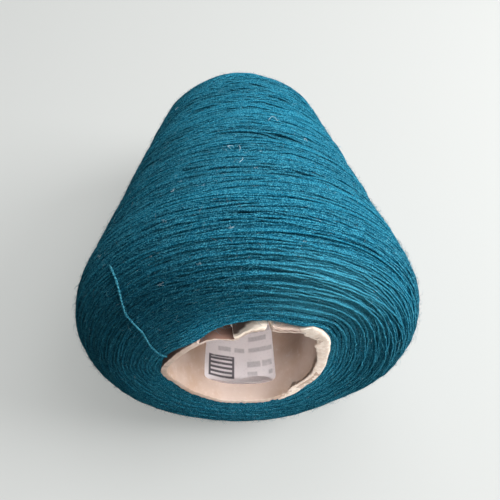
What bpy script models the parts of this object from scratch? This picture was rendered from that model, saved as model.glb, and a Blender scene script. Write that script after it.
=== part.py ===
"""A part-used cone of knitting yarn lying on its side.

A tapered paper cone carries a thick cross-wound package of yarn.  The cone lies on the straight
flank of its package, so its mouth looks forwards (-Y) and a little up, its nose points back (+Y),
and the floor is z = 0.  The mouth of the paper cone is knocked out of round, one ply has torn
loose inside it, a paper label is glued to the inner wall and the loose end of the yarn is laid
over the front face and tucked in at the rim.

Lengths are metres.  A place on the cone is given by its depth (measured along the axis from the
front face of the yarn towards the nose), its radius and its angle round the mouth (degrees,
counted from the right-hand side over the top as seen looking into the mouth).
"""

import math

import bpy
import numpy as np

# ---------------------------------------------------------------- paper cone
CONE_HALF_ANGLE = 5.95        # degrees, the common 5 degrees 57 minutes cone
CONE_LENGTH = 0.170
MOUTH_RADIUS = 0.0342         # outside of the paper at the mouth
MOUTH_PROUD = 0.0015          # how far the paper stands out of the front face of the yarn
NOSE_PROUD = 0.0085           # and out of its nose face
BOARD_WALL = 0.0013           # outer plies, still glued together
LINER_WALL = 0.0009           # inner ply
LINER_SETBACK = 0.0004        # inner ply ends this far inside the mouth
FIT_GAP = 0.0003              # clearance between pieces that touch
RIM_ROUND = 0.0003
NOSE_ROUND_EDGE = 0.0005

# ---------------------------------------------------------------- wound package
PACKAGE_LENGTH = CONE_LENGTH - MOUTH_PROUD - NOSE_PROUD   # depth of the flat nose face
SHOULDER_RADIUS = 0.0776      # corner of flank and front face, before rounding
SHOULDER_ROUND = 0.0221
FACE_DISH = 0.0017            # the front face falls back this much out to the shoulder corner
NOSE_RADIUS = 0.0435          # corner of flank and nose face, before rounding
NOSE_ROUND = 0.0218
GROOVE_ROUND = 0.0022         # soft edge of the yarn round the paper, both ends
SQUASH = 0.0010               # how far the package is flattened where it lies on the floor

# ---------------------------------------------------------------- knocks in the mouth
# angle round the mouth, half-width (degrees), push of the wall (outward positive)
MOUTH_KNOCKS = (
    (177.0, 15.0, 0.0029),    # pinched corner on the left
    (42.0, 19.5, 0.0035),     # corner at the upper right
    (120.0, 34.0, -0.0026),   # sunk upper left side
    (-63.0, 75.0, -0.0090),   # flattened right side and raised bottom
    (-74.0, 44.0, 0.0043),    # with a belly between them
)
KNOCK_DEPTH = 0.055           # the knocks fade out over this depth
PAPER_KNOCK = (103.0, 12.0, -0.0052)   # here the paper has also come away from the yarn
PAPER_KNOCK_DEPTH = 0.030
KNOCK_FULL_RADIUS = MOUTH_RADIUS + 0.0058   # knocks act fully inside this radius
KNOCK_END_RADIUS = MOUTH_RADIUS + 0.0278    # and not at all outside this one
SHOULDER_KNOCK = (-49.0, 20.0, -0.0045)     # the lower right shoulder is pressed in
SHOULDER_KNOCK_DEPTH = 0.040
SHOULDER_KNOCK_START = SHOULDER_RADIUS - 0.032   # it grows between these two radii
SHOULDER_KNOCK_FULL = SHOULDER_RADIUS - 0.010

# ---------------------------------------------------------------- label and torn ply
LABEL_WIDTH = 0.0375
LABEL_LENGTH = 0.045
LABEL_THICKNESS = 0.0003
LABEL_DEPTH = 0.0060          # depth of its front edge
LABEL_ANGLE = -101.0          # middle of the label
LABEL_CORNER = 0.0020
TORN_FROM = 26.0              # angles of the torn ply's two ends
TORN_TO = 58.0
TORN_LENGTH = 0.0070
TORN_WALL = 0.0016

# ---------------------------------------------------------------- loose end of the yarn
YARN_DIAMETER = 0.0010
TAIL_GAP = 0.0006             # clearance under it, measured over the rounding's flats
TAIL_SPACING = 0.0024
# distance out from the bore edge along the front face, angle round the mouth
TAIL_ROUTE = (
    (0.0417, 131.9), (0.0366, 131.4), (0.0328, 132.3), (0.0287, 134.4), (0.0248, 137.1),
    (0.0203, 139.2), (0.0157, 142.5), (0.0105, 149.3), (0.0054, 154.7), (0.0015, 156.5),
)

STEPS_PACKAGE = 80
STEPS_PAPER = 60
STEPS_LABEL = 16
STEPS_TORN = 8
ROUND_STEPS = 5               # steps in a quarter turn of a rounding
FINE_ROUND = 0.0010           # smaller roundings than this get one step only
# depths at which every wall near the bore is bent, so that neighbours bend together
STATIONS = (0.005, 0.010, 0.015, 0.020, 0.025, 0.030, 0.036, 0.043, 0.053, 0.065, 0.080, 0.105,
            0.135)

TAPER = math.tan(math.radians(CONE_HALF_ANGLE))
TILT = math.atan2(SHOULDER_RADIUS - NOSE_RADIUS, PACKAGE_LENGTH - FACE_DISH)
COLLECTION = "yarn_cone"


# ---------------------------------------------------------------- scene and materials
def clear_scene():
    """Removes whatever the start-up scene holds."""
    for obj in list(bpy.data.objects):
        bpy.data.objects.remove(obj, do_unlink=True)


def new_collection(name):
    """Makes a collection in the scene."""
    group = bpy.data.collections.new(name)
    bpy.context.scene.collection.children.link(group)
    return group


def material(name, colour, roughness, sheen=0.0):
    """Makes a plain Principled material."""
    mat = bpy.data.materials.new(name)
    mat.use_nodes = True
    shader = mat.node_tree.nodes["Principled BSDF"]
    shader.inputs["Base Color"].default_value = (*colour, 1.0)
    shader.inputs["Roughness"].default_value = roughness
    shader.inputs["Sheen Weight"].default_value = sheen
    mat.diffuse_color = (*colour, 1.0)
    return mat


# ---------------------------------------------------------------- sections
def paper_radius(depth):
    """Outer radius of the unknocked paper cone at a depth."""
    return MOUTH_RADIUS - (depth + MOUTH_PROUD) * TAPER


def rounded(points, radii):
    """Rounds the corners of a closed section; each corner has its own radius."""
    count = len(points)
    out = []
    for index, (corner, radius) in enumerate(zip(points, radii)):
        here = np.array(corner)
        if radius <= 0.0:
            out.append(tuple(here))
            continue
        back = np.array(points[index - 1]) - here
        ahead = np.array(points[(index + 1) % count]) - here
        back /= np.linalg.norm(back)
        ahead /= np.linalg.norm(ahead)
        half = math.acos(float(np.clip(back @ ahead, -1.0, 1.0))) / 2.0
        bisector = (back + ahead) / np.linalg.norm(back + ahead)
        centre = here + bisector * radius / math.sin(half)
        start = here + back * radius / math.tan(half) - centre
        turn = math.pi - 2.0 * half
        side = math.copysign(1.0, float(back[0] * ahead[1] - back[1] * ahead[0]))
        steps = max(2, round(ROUND_STEPS * turn / (math.pi / 2.0)))
        if radius < FINE_ROUND:
            steps = 1
        for step in range(steps + 1):
            angle = -side * turn * step / steps
            spin = np.array([[math.cos(angle), -math.sin(angle)],
                             [math.sin(angle), math.cos(angle)]])
            out.append(tuple(centre + spin @ start))
    return out


def divided(points, closed=True):
    """Adds a point to a section wherever it crosses one of the stations."""
    out = []
    last = len(points) if closed else len(points) - 1
    for index in range(last):
        here = np.array(points[index])
        there = np.array(points[(index + 1) % len(points)])
        out.append(tuple(here))
        low, high = sorted((here[1], there[1]))
        crossed = [depth for depth in STATIONS if low + 0.0015 < depth < high - 0.0015]
        if there[1] < here[1]:
            crossed.reverse()
        for depth in crossed:
            out.append(tuple(here + (there - here) * (depth - here[1]) / (there[1] - here[1])))
    if not closed:
        out.append(tuple(points[-1]))
    return out


def wall_section(outer_offset, wall, front, back):
    """Section of a ply: a slanting strip at a given distance inside the paper's outer face."""
    def radius(depth, inward):
        return paper_radius(depth) - outer_offset - inward
    corners = [(radius(back, 0.0), back), (radius(front, 0.0), front),
               (radius(front, wall), front), (radius(back, wall), back)]
    radii = [NOSE_ROUND_EDGE if wall > 2.2 * NOSE_ROUND_EDGE else 0.0, RIM_ROUND, RIM_ROUND,
             0.0]
    return corners, radii


def package_section():
    """Section of the wound yarn, from the nose face down the flank to the front face."""
    bore_back = paper_radius(PACKAGE_LENGTH) + FIT_GAP
    bore_front = paper_radius(0.0) + FIT_GAP
    corners = [(bore_back, PACKAGE_LENGTH), (NOSE_RADIUS, PACKAGE_LENGTH),
               (SHOULDER_RADIUS, FACE_DISH), (bore_front, 0.0)]
    radii = [GROOVE_ROUND, NOSE_ROUND, SHOULDER_ROUND, GROOVE_ROUND]
    return corners, radii


# ---------------------------------------------------------------- building blocks
def profile_object(name, points, closed, group, mat):
    """A section as a loop or line of edges, radius along X and depth along Z."""
    mesh = bpy.data.meshes.new(name)
    edges = [(i, i + 1) for i in range(len(points) - 1)]
    if closed:
        edges.append((len(points) - 1, 0))
    mesh.from_pydata([(radius, 0.0, depth) for radius, depth in points], edges, [])
    mesh.materials.append(mat)
    obj = bpy.data.objects.new(name, mesh)
    group.objects.link(obj)
    return obj


def turn(obj, sweep, steps):
    """Turns the section about the cone's axis."""
    screw = obj.modifiers.new("turn", "SCREW")
    screw.axis = "Z"
    screw.angle = sweep
    screw.steps = steps
    screw.render_steps = steps
    screw.use_smooth_shade = True
    screw.use_merge_vertices = sweep > 6.28
    screw.merge_threshold = 0.00001
    screw.use_normal_calculate = False


def thicken(obj, thickness):
    """Gives a turned sheet its thickness, growing towards the axis."""
    shell = obj.modifiers.new("shell", "SOLIDIFY")
    shell.thickness = thickness
    shell.offset = -1.0
    shell.use_rim = True
    shell.use_even_offset = True


def settle(obj, place):
    """Takes the turned shape and moves every point of it by a rule of the place on the cone."""
    graph = bpy.context.evaluated_depsgraph_get()
    graph.update()
    shaped = bpy.data.meshes.new_from_object(obj.evaluated_get(graph))
    obj.modifiers.clear()
    obj.data = shaped
    shaped.name = obj.name
    flat = np.empty(len(shaped.vertices) * 3)
    shaped.vertices.foreach_get("co", flat)
    points = flat.reshape(-1, 3)
    radius = np.hypot(points[:, 0], points[:, 1])
    angle = np.degrees(np.arctan2(-points[:, 1], points[:, 0]))
    radius, angle, depth = place(radius, angle, points[:, 2].copy())
    turned = np.radians(angle)
    moved = np.stack([radius * np.cos(turned), -radius * np.sin(turned), depth], axis=1)
    shaped.vertices.foreach_set("co", moved.ravel())
    shaped.update()
    for polygon in shaped.polygons:
        polygon.use_smooth = True


# ---------------------------------------------------------------- the knocked mouth
def lobe(angle, middle, half_width):
    """A smooth bump round the circle, 1 in its middle."""
    away = (angle - middle + 180.0) % 360.0 - 180.0
    return np.exp(-(away / half_width) ** 2)


def knocked(radius, angle, depth, paper=False):
    """Radius of a point once the mouth has been knocked out of round."""
    inside = np.clip((KNOCK_END_RADIUS - radius) / (KNOCK_END_RADIUS - KNOCK_FULL_RADIUS), 0, 1)
    inside = inside * inside * (3.0 - 2.0 * inside)
    below = np.maximum(depth, 0.0)
    push = sum(size * lobe(angle, middle, width) for middle, width, size in MOUTH_KNOCKS)
    moved = radius + push * inside * np.exp(-(below / KNOCK_DEPTH) ** 2)
    middle, width, size = SHOULDER_KNOCK
    outside = np.clip((radius - SHOULDER_KNOCK_START)
                      / (SHOULDER_KNOCK_FULL - SHOULDER_KNOCK_START), 0, 1)
    outside = outside * outside * (3.0 - 2.0 * outside)
    moved = moved + size * lobe(angle, middle, width) * outside * np.exp(
        -(below / SHOULDER_KNOCK_DEPTH) ** 2)
    if paper:
        middle, width, size = PAPER_KNOCK
        moved = moved + size * lobe(angle, middle, width) * np.exp(
            -(below / PAPER_KNOCK_DEPTH) ** 2)
    return moved


# ---------------------------------------------------------------- the pieces
def build_paper(group):
    """The two walls of the paper cone, one inside the other."""
    made = []
    plies = (
        ("cone_board", 0.0, BOARD_WALL, -MOUTH_PROUD, CONE_LENGTH - MOUTH_PROUD,
         (0.62, 0.52, 0.42)),
        ("cone_liner", BOARD_WALL + FIT_GAP, LINER_WALL, LINER_SETBACK - MOUTH_PROUD,
         CONE_LENGTH - MOUTH_PROUD - LINER_SETBACK, (0.70, 0.60, 0.50)),
    )
    for name, offset, wall, front, back, colour in plies:
        corners, radii = wall_section(offset, wall, front, back)
        points = divided(rounded(corners, radii))
        obj = profile_object(name, points, True, group, material(name, colour, 0.85))
        turn(obj, 2.0 * math.pi, STEPS_PAPER)
        settle(obj, lambda r, t, d: (knocked(r, t, d, paper=True), t, d))
        made.append(obj)
    return made


def patch(name, group, mat, inset, front, length, sweep, steps, wall, ease, place):
    """A curved sheet on the cone's inner wall, grown inwards to its thickness."""
    depths = [front + d for d in ease] + [front + length - d for d in reversed(ease)]
    points = [(paper_radius(d) - inset, d) for d in reversed(depths)]
    points = divided(points, closed=False)
    obj = profile_object(name, points, False, group, mat)
    turn(obj, math.radians(sweep), steps)
    thicken(obj, wall)
    settle(obj, place)
    return obj


def build_label(group):
    """The paper label glued to the lower inner wall."""
    inset = BOARD_WALL + FIT_GAP + LINER_WALL + FIT_GAP
    middle_radius = paper_radius(LABEL_DEPTH + LABEL_LENGTH / 2.0) - inset
    sweep = math.degrees(LABEL_WIDTH / middle_radius)

    def place(radius, angle, depth):
        """Turns the sheet to its place and rounds its four corners."""
        edge = np.minimum(depth - LABEL_DEPTH, LABEL_DEPTH + LABEL_LENGTH - depth)
        short = np.clip(LABEL_CORNER - edge, 0.0, LABEL_CORNER)
        cut = LABEL_CORNER - np.sqrt(np.maximum(LABEL_CORNER ** 2 - short ** 2, 0.0))
        off_middle = -np.abs(angle) + sweep / 2.0
        shrink = 1.0 - 2.0 * cut / LABEL_WIDTH
        turned = LABEL_ANGLE + off_middle * shrink
        return knocked(radius, turned, depth, paper=True), turned, depth

    ease = [0.0, 0.0002, 0.0006, 0.0012, LABEL_CORNER]
    return patch("label", group, material("label", (0.72, 0.72, 0.74), 0.7), inset, LABEL_DEPTH,
                 LABEL_LENGTH, sweep, STEPS_LABEL, LABEL_THICKNESS, ease, place)


def build_torn_ply(group):
    """The torn, fluffy tongue of ply standing loose inside the upper right of the mouth."""
    inset = BOARD_WALL + FIT_GAP + LINER_WALL + FIT_GAP
    sweep = TORN_TO - TORN_FROM
    front = LINER_SETBACK - MOUTH_PROUD

    def place(radius, angle, depth):
        """Turns the tongue to its place and tapers it towards its root."""
        turned = (TORN_FROM + TORN_TO) / 2.0 - np.abs(angle) + sweep / 2.0
        across = (turned - (TORN_FROM + TORN_TO) / 2.0) / (sweep / 2.0)
        along = (depth - front) / TORN_LENGTH
        reach = 1.0 - 0.45 * across ** 2
        return (knocked(radius, turned, depth, paper=True), turned,
                front + along * reach * TORN_LENGTH)

    ease = [0.0]
    return patch("torn_ply", group, material("torn_ply", (0.78, 0.72, 0.62), 0.95), inset, front,
                 TORN_LENGTH, sweep, STEPS_TORN, TORN_WALL, ease, place)


def build_package(group):
    """The cross-wound yarn, with the flat it lies on."""
    corners, radii = package_section()
    points = divided(rounded(corners, radii))
    mat = material("yarn_package", (0.012, 0.085, 0.115), 0.9, sheen=0.3)
    obj = profile_object("yarn_package", points, True, group, mat)
    turn(obj, 2.0 * math.pi, STEPS_PACKAGE)
    settle(obj, lambda r, t, d: (knocked(r, t, d), t, d))
    return obj


def smooth_route(controls, spacing):
    """Evenly spaced points on a smooth curve through the control points."""
    keys = np.array(controls)
    ends = np.vstack([2.0 * keys[0] - keys[1], keys, 2.0 * keys[-1] - keys[-2]])
    curve = []
    for index in range(len(keys) - 1):
        a, b, c, d = ends[index:index + 4]
        t = np.linspace(0.0, 1.0, 24, endpoint=False)[:, None]
        curve.append(0.5 * (2.0 * b + (c - a) * t + (2.0 * a - 5.0 * b + 4.0 * c - d) * t ** 2
                            + (3.0 * b - a - 3.0 * c + d) * t ** 3))
    curve = np.vstack([*curve, keys[-1:]])
    run = np.concatenate([[0.0], np.cumsum(np.linalg.norm(np.diff(curve, axis=0), axis=1))])
    count = max(2, round(run[-1] / spacing)) + 1
    wanted = np.linspace(0.0, run[-1], count)
    return np.stack([np.interp(wanted, run, curve[:, axis]) for axis in range(3)], axis=1)


def front_face_line():
    """The package's outline from the bore edge out over the shoulder: points and outward unit."""
    corners, _ = package_section()
    radii = [0.0, 0.0, SHOULDER_ROUND, 0.0]
    outline = np.array(rounded(corners, radii))[2:][::-1]
    corner_run = np.concatenate(
        [[0.0], np.cumsum(np.linalg.norm(np.diff(outline, axis=0), axis=1))])
    run = np.arange(0.0, corner_run[-1], 0.0005)
    fine = np.stack([np.interp(run, corner_run, outline[:, axis]) for axis in range(2)], axis=1)
    along = np.gradient(fine, axis=0)
    along /= np.linalg.norm(along, axis=1)[:, None]
    outward = np.stack([along[:, 1], -along[:, 0]], axis=1)
    return run, fine, outward


def build_tail(group):
    """The loose end of the yarn, laid over the front face and tucked in beside the rim."""
    run, line, outward = front_face_line()
    lift = YARN_DIAMETER / 2.0 + TAIL_GAP
    controls = []
    for distance, angle in TAIL_ROUTE:
        foot = np.array([np.interp(distance, run, line[:, axis]) for axis in range(2)])
        out = np.array([np.interp(distance, run, outward[:, axis]) for axis in range(2)])
        out /= np.linalg.norm(out)
        radius, depth = foot + out * lift
        radius = float(knocked(radius, angle, depth))
        turned = math.radians(angle)
        controls.append((radius * math.cos(turned), -radius * math.sin(turned), depth))
    points = smooth_route(controls, TAIL_SPACING)
    curve = bpy.data.curves.new("yarn_tail", "CURVE")
    curve.dimensions = "3D"
    curve.bevel_depth = YARN_DIAMETER / 2.0
    curve.bevel_resolution = 2
    curve.use_fill_caps = True
    spline = curve.splines.new("POLY")
    spline.points.add(len(points) - 1)
    spline.points.foreach_set("co", np.hstack([points, np.ones((len(points), 1))]).ravel())
    curve.materials.append(material("yarn_tail", (0.03, 0.16, 0.20), 0.9, sheen=0.3))
    obj = bpy.data.objects.new("yarn_tail", curve)
    group.objects.link(obj)
    length = float(np.sum(np.linalg.norm(np.diff(points, axis=0), axis=1)))
    print(f"yarn_tail length {length:.4f} m in {len(points)} points")
    return obj


# ---------------------------------------------------------------- laying it down
def lay_down(pieces):
    """Tips the cone onto its flank, its floor at z = 0 and its box centred over the origin."""
    carrier = bpy.data.objects.new("carrier", None)
    bpy.context.scene.collection.objects.link(carrier)
    carrier.rotation_euler = (-(math.pi / 2.0 + TILT), 0.0, 0.0)
    height = FACE_DISH * math.sin(TILT) + SHOULDER_RADIUS * math.cos(TILT) - SQUASH
    carrier.location = (0.0, 0.0, height)
    for piece in pieces:
        piece.parent = carrier
    return carrier


def flatten(package, carrier, cutters):
    """Cuts the flat that the soft package presses against the floor."""
    mesh = bpy.data.meshes.new("floor_cutter")
    half, deep = 0.30, 0.05
    corners = [(x, y, z) for z in (-deep, 0.0) for y in (-half, half) for x in (-half, half)]
    mesh.from_pydata(corners, [], [(0, 2, 3, 1), (4, 5, 7, 6), (0, 1, 5, 4), (2, 6, 7, 3),
                                   (0, 4, 6, 2), (1, 3, 7, 5)])
    cutter = bpy.data.objects.new("floor_cutter", mesh)
    cutter.hide_render = True
    cutter.display_type = "WIRE"
    cutters.objects.link(cutter)
    cut = package.modifiers.new("floor_flat", "BOOLEAN")
    cut.operation = "DIFFERENCE"
    cut.solver = "EXACT"
    cut.object = cutter


def centre_over_origin(pieces, carrier):
    """Slides the cone along Y so that its box, the loose end left out, sits over the origin."""
    bpy.context.view_layer.update()
    graph = bpy.context.evaluated_depsgraph_get()
    low, high = math.inf, -math.inf
    for piece in pieces:
        shape = piece.evaluated_get(graph)
        mesh = shape.to_mesh()
        heights = [(shape.matrix_world @ vertex.co).y for vertex in mesh.vertices]
        low = min(low, min(heights))
        high = max(high, max(heights))
        shape.to_mesh_clear()
    carrier.location.y -= (low + high) / 2.0
    print(f"y {low:.5f} {high:.5f}; mouth centre at y {carrier.location.y:.5f}, "
          f"z {carrier.location.z:.5f}, tilt {math.degrees(TILT):.3f}")


def main():
    """Builds the cone of yarn."""
    clear_scene()
    group = new_collection(COLLECTION)
    cutters = new_collection("cutters")
    pieces = build_paper(group)
    pieces.append(build_label(group))
    pieces.append(build_torn_ply(group))
    package = build_package(group)
    pieces.append(package)
    tail = build_tail(group)
    carrier = lay_down([*pieces, tail])
    flatten(package, carrier, cutters)
    centre_over_origin(pieces, carrier)


main()
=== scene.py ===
"""Looks of a cone of knitting yarn that lies on its flank.

The paper cone, its torn ply and label, the wound yarn and the loose end are built as numpy surfaces
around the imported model.  A place on the cone is given by a radius and an angle round its axis
(radians, from the right over the top as seen looking into the mouth) and a depth along the axis,
measured from the front face of the yarn towards the nose.  All lengths are metres.
"""

import enum
import logging
import math
from dataclasses import dataclass, field

import bpy
import numpy as np
from mathutils import Matrix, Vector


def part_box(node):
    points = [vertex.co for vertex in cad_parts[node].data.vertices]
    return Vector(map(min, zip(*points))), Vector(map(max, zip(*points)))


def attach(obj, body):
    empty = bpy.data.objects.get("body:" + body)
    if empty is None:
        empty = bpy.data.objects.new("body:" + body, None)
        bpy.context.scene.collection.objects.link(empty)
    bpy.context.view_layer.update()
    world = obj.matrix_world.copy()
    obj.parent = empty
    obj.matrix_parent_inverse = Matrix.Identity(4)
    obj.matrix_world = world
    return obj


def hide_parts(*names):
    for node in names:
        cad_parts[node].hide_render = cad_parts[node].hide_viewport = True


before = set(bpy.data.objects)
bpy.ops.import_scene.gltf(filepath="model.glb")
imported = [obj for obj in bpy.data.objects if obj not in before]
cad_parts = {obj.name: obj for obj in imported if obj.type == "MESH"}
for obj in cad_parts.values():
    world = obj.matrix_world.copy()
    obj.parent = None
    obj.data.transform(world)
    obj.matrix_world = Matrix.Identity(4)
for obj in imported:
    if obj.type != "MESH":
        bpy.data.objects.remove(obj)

Array = np.ndarray
LOG = logging.getLogger("yarn_cone")
MM = 0.001
RUN_PITCH = 0.00025      # step along the package's outline
ARC_STEPS = 24           # chords in each rounding of the outline
CROWN = 0.86             # height of a strand's top, in half-widths
FRAME_HEIGHT = 0.001     # lift at which a strand's outward direction is read
FULL_TURN = 2.0 * math.pi
BAKE_AROUND = 0.985      # share of the bake map that one turn round the package takes
BAKE_LEFT = 0.004        # and where it starts
BAKE_ALONG = 0.98        # share that the outline's length takes
BAKE_LOW = 0.01          # and where it starts


# ---- small numpy tools
def unit(vectors: Array) -> Array:
    """Scales each vector, a row of x, y, z, to length one."""
    return vectors / np.maximum(np.linalg.norm(vectors, axis=-1, keepdims=True), 1e-12)


def run_along(points: Array) -> Array:
    """Distance along a line of points, 0 at its first: the running sum of its steps' lengths."""
    steps = np.linalg.norm(np.diff(points, axis=0), axis=1)
    return np.concatenate([[0.0], np.cumsum(steps)])


def read_line(wanted: Array, run: Array, points: Array) -> Array:
    """Reads a line of points at the wanted distances along it, straight between its points."""
    return np.stack([np.interp(wanted, run, column) for column in points.T], axis=1)


def smooth_step(value: Array, low: float, high: float) -> Array:
    """Rises smoothly from 0 at low to 1 at high, by 3t^2 - 2t^3; low may be the larger."""
    t = np.clip((value - low) / (high - low), 0.0, 1.0)
    return t * t * (3.0 - 2.0 * t)


def bump(angle: Array, middle: float, half_width: float) -> Array:
    """A smooth bump round the circle, in degrees: exp of minus the squared share of its half-width."""
    away = (np.degrees(angle) - middle + 180.0) % 360.0 - 180.0
    return np.exp(-((away / half_width) ** 2))


def blur(values: Array, width: int) -> Array:
    """Smooths a series along its length with a bell of the given width in samples.

    Args:
        values: The series.
        width: Standard deviation of the bell, in samples.

    Returns:
        A series of the same length.
    """
    reach = 3 * width
    kernel = np.exp(-0.5 * (np.arange(-reach, reach + 1) / width) ** 2)
    padded = np.pad(values, reach, mode="edge")
    return np.convolve(padded, kernel / kernel.sum(), mode="valid")


def lattice_noise(points: Array, size: float, seed: int) -> Array:
    """Smooth noise: seeded random values on a cubic lattice, blended with 3t^2 - 2t^3 between them.

    Args:
        points: Rows of x, y, z.
        size: Lattice pitch in metres.
        seed: Number that picks the random values.

    Returns:
        One value from -1 to 1 for each row.
    """
    place = points / size
    cell = np.floor(place).astype(np.int64)
    share = place - cell
    share = share * share * (3.0 - 2.0 * share)
    total = np.zeros(len(points))
    for corner in range(8):
        step = np.array([corner & 1, corner >> 1 & 1, corner >> 2 & 1])
        key = (cell + step) @ np.array([73856093, 19349663, 83492791]) + seed * 2654435761
        key = (key ^ (key >> 13)) * 1274126177 & 0xFFFFFFFF
        key = (key ^ (key >> 16)) * 2246822519 & 0xFFFFFFFF
        value = (key >> 8 & 0xFFFF) / 32767.5 - 1.0
        total += value * np.prod(np.where(step, share, 1.0 - share), axis=1)
    return total


@dataclass(frozen=True)
class Ripple:
    """A gentle random wave over angle and run, the sum of a few sines that close round the circle."""

    seed: int
    turns: tuple[int, int]
    lengths: tuple[float, float]
    terms: int = 9

    def at(self, angle: Array, run: Array) -> Array:
        """Reads the wave: the mean-square-one sum of sin(m * angle + k * run + phase).

        Args:
            angle: Angles in radians.
            run: Distances in metres.

        Returns:
            The wave's height, about -2 to 2.
        """
        rng = np.random.default_rng(self.seed)
        total = np.zeros(np.broadcast(angle, run).shape)
        for _ in range(self.terms):
            around = int(rng.integers(self.turns[0], self.turns[1] + 1)) * int(rng.choice([-1, 1]))
            wave = FULL_TURN / rng.uniform(*self.lengths)
            total += np.sin(around * angle + wave * run + rng.uniform(0.0, FULL_TURN))
        return total * math.sqrt(2.0 / self.terms)


# ---- meshes
def grid_quads(rows: int, columns: int, wrap_rows: bool, wrap_columns: bool) -> Array:
    """Quads of a grid of points stored row by row.

    Args:
        rows: Number of rows.
        columns: Points in a row.
        wrap_rows: True where the last row joins the first.
        wrap_columns: True where the last point of a row joins its first.

    Returns:
        One row of four point numbers for each quad.
    """
    row = np.arange(rows if wrap_rows else rows - 1)[:, None]
    column = np.arange(columns if wrap_columns else columns - 1)[None, :]
    next_row = (row + 1) % rows
    next_column = (column + 1) % columns
    quads = np.stack([row * columns + column, row * columns + next_column,
                      next_row * columns + next_column, next_row * columns + column], axis=-1)
    return quads.reshape(-1, 4)


def signed_volume(points: Array, quads: Array) -> float:
    """Volume inside a closed surface: a sixth of the sum of its triangles' triple products.

    Args:
        points: Rows of x, y, z.
        quads: Rows of four point numbers.

    Returns:
        The volume, negative where the faces point inwards.
    """
    a, b, c, d = (points[quads[:, i]] for i in range(4))
    first = np.einsum("ij,ij->i", a, np.cross(b, c)).sum()
    second = np.einsum("ij,ij->i", a, np.cross(c, d)).sum()
    return float(first + second) / 6.0


def mesh_object(name: str, points: Array, quads: Array, triangles: Array | None = None,
                maps: dict[str, Array] | None = None,
                values: dict[str, Array] | None = None) -> bpy.types.Object:
    """Makes a smooth-shaded object from arrays.

    Args:
        name: The piece's name.
        points: Rows of x, y, z.
        quads: Rows of four point numbers.
        triangles: Rows of three point numbers, or none.
        maps: UV maps by name, one u, v row for each face corner in order.
        values: Float attributes by name, one number for each point.

    Returns:
        The new object, linked into the scene.
    """
    corners = [quads.ravel()]
    sizes = [np.full(len(quads), 4)]
    if triangles is not None and len(triangles):
        corners.append(triangles.ravel())
        sizes.append(np.full(len(triangles), 3))
    corner = np.concatenate(corners).astype(np.int32)
    size = np.concatenate(sizes)
    start = np.concatenate([[0], np.cumsum(size)[:-1]]).astype(np.int32)
    mesh = bpy.data.meshes.new(name)
    mesh.vertices.add(len(points))
    mesh.vertices.foreach_set("co", np.ascontiguousarray(points, dtype=np.float32).ravel())
    mesh.loops.add(len(corner))
    mesh.loops.foreach_set("vertex_index", corner)
    mesh.polygons.add(len(size))
    mesh.polygons.foreach_set("loop_start", start)
    mesh.polygons.foreach_set("use_smooth", np.ones(len(size), dtype=bool))
    mesh.update(calc_edges=True)
    for map_name, uv in (maps or {}).items():
        layer = mesh.uv_layers.new(name=map_name)
        layer.data.foreach_set("uv", np.ascontiguousarray(uv, dtype=np.float32).ravel())
    for value_name, numbers in (values or {}).items():
        attribute = mesh.attributes.new(value_name, "FLOAT", "POINT")
        attribute.data.foreach_set("value", np.ascontiguousarray(numbers, dtype=np.float32))
    mesh.validate()
    obj = bpy.data.objects.new(name, mesh)
    bpy.context.scene.collection.objects.link(obj)
    return obj


def closed_sheet(name: str, points: Array, wrap_rows: bool,
                 maps: dict[str, Array] | None = None,
                 values: dict[str, Array] | None = None) -> bpy.types.Object:
    """Makes an object from a grid whose columns close on themselves, faces turned outwards.

    Args:
        name: The piece's name.
        points: Grid of points, rows by columns by 3.
        wrap_rows: True where the rows also close; otherwise the end rows are capped.
        maps: UV maps by name as grids of u, v, rows by columns by 2.
        values: Float attributes by name as grids, rows by columns.

    Returns:
        The new object.
    """
    rows, columns = points.shape[:2]
    flat = points.reshape(-1, 3)
    quads = grid_quads(rows, columns, wrap_rows, True)
    caps = None
    if not wrap_rows:
        middle = np.stack([points[0].mean(axis=0), points[-1].mean(axis=0)])
        flat = np.vstack([flat, middle])
        ring = np.arange(columns)
        after = (ring + 1) % columns
        base = (rows - 1) * columns
        caps = np.vstack([
            np.stack([after, ring, np.full(columns, rows * columns)], axis=1),
            np.stack([base + ring, base + after, np.full(columns, rows * columns + 1)], axis=1)])
    if signed_volume(flat, quads) < 0.0:
        quads = quads[:, ::-1]
        caps = None if caps is None else caps[:, ::-1]
    corner_maps = {}
    for map_name, grid in (maps or {}).items():
        uv = grid.reshape(-1, 2)
        if caps is not None:
            uv = np.vstack([uv, grid[0].mean(axis=0)[None], grid[-1].mean(axis=0)[None]])
        parts = [uv[quads.ravel()]]
        if caps is not None:
            parts.append(uv[caps.ravel()])
        corner_maps[map_name] = np.vstack(parts)
    point_values = {}
    for value_name, grid in (values or {}).items():
        ends = [] if caps is None else [grid[0].mean(), grid[-1].mean()]
        point_values[value_name] = np.append(grid.ravel(), ends)
    return mesh_object(name, flat, quads, caps, corner_maps, point_values)


# ---- the cone's geometry
@dataclass(frozen=True)
class ConeSpace:
    """Where the cone lies: the middle of its mouth and the tilt of its axis."""

    mouth_y: float
    mouth_z: float
    tilt: float

    def world(self, radius: Array, angle: Array, depth: Array) -> Array:
        """Turns cone places into points.

        Args:
            radius: Distances from the axis.
            angle: Angles round the mouth in radians.
            depth: Distances along the axis from the front face.

        Returns:
            Points with one more axis of x, y, z.
        """
        radius, angle, depth = np.broadcast_arrays(radius, angle, depth)
        up = radius * np.sin(angle)
        c, s = math.cos(self.tilt), math.sin(self.tilt)
        return np.stack([radius * np.cos(angle), self.mouth_y + depth * c + up * s,
                         self.mouth_z - depth * s + up * c], axis=-1)


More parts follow.
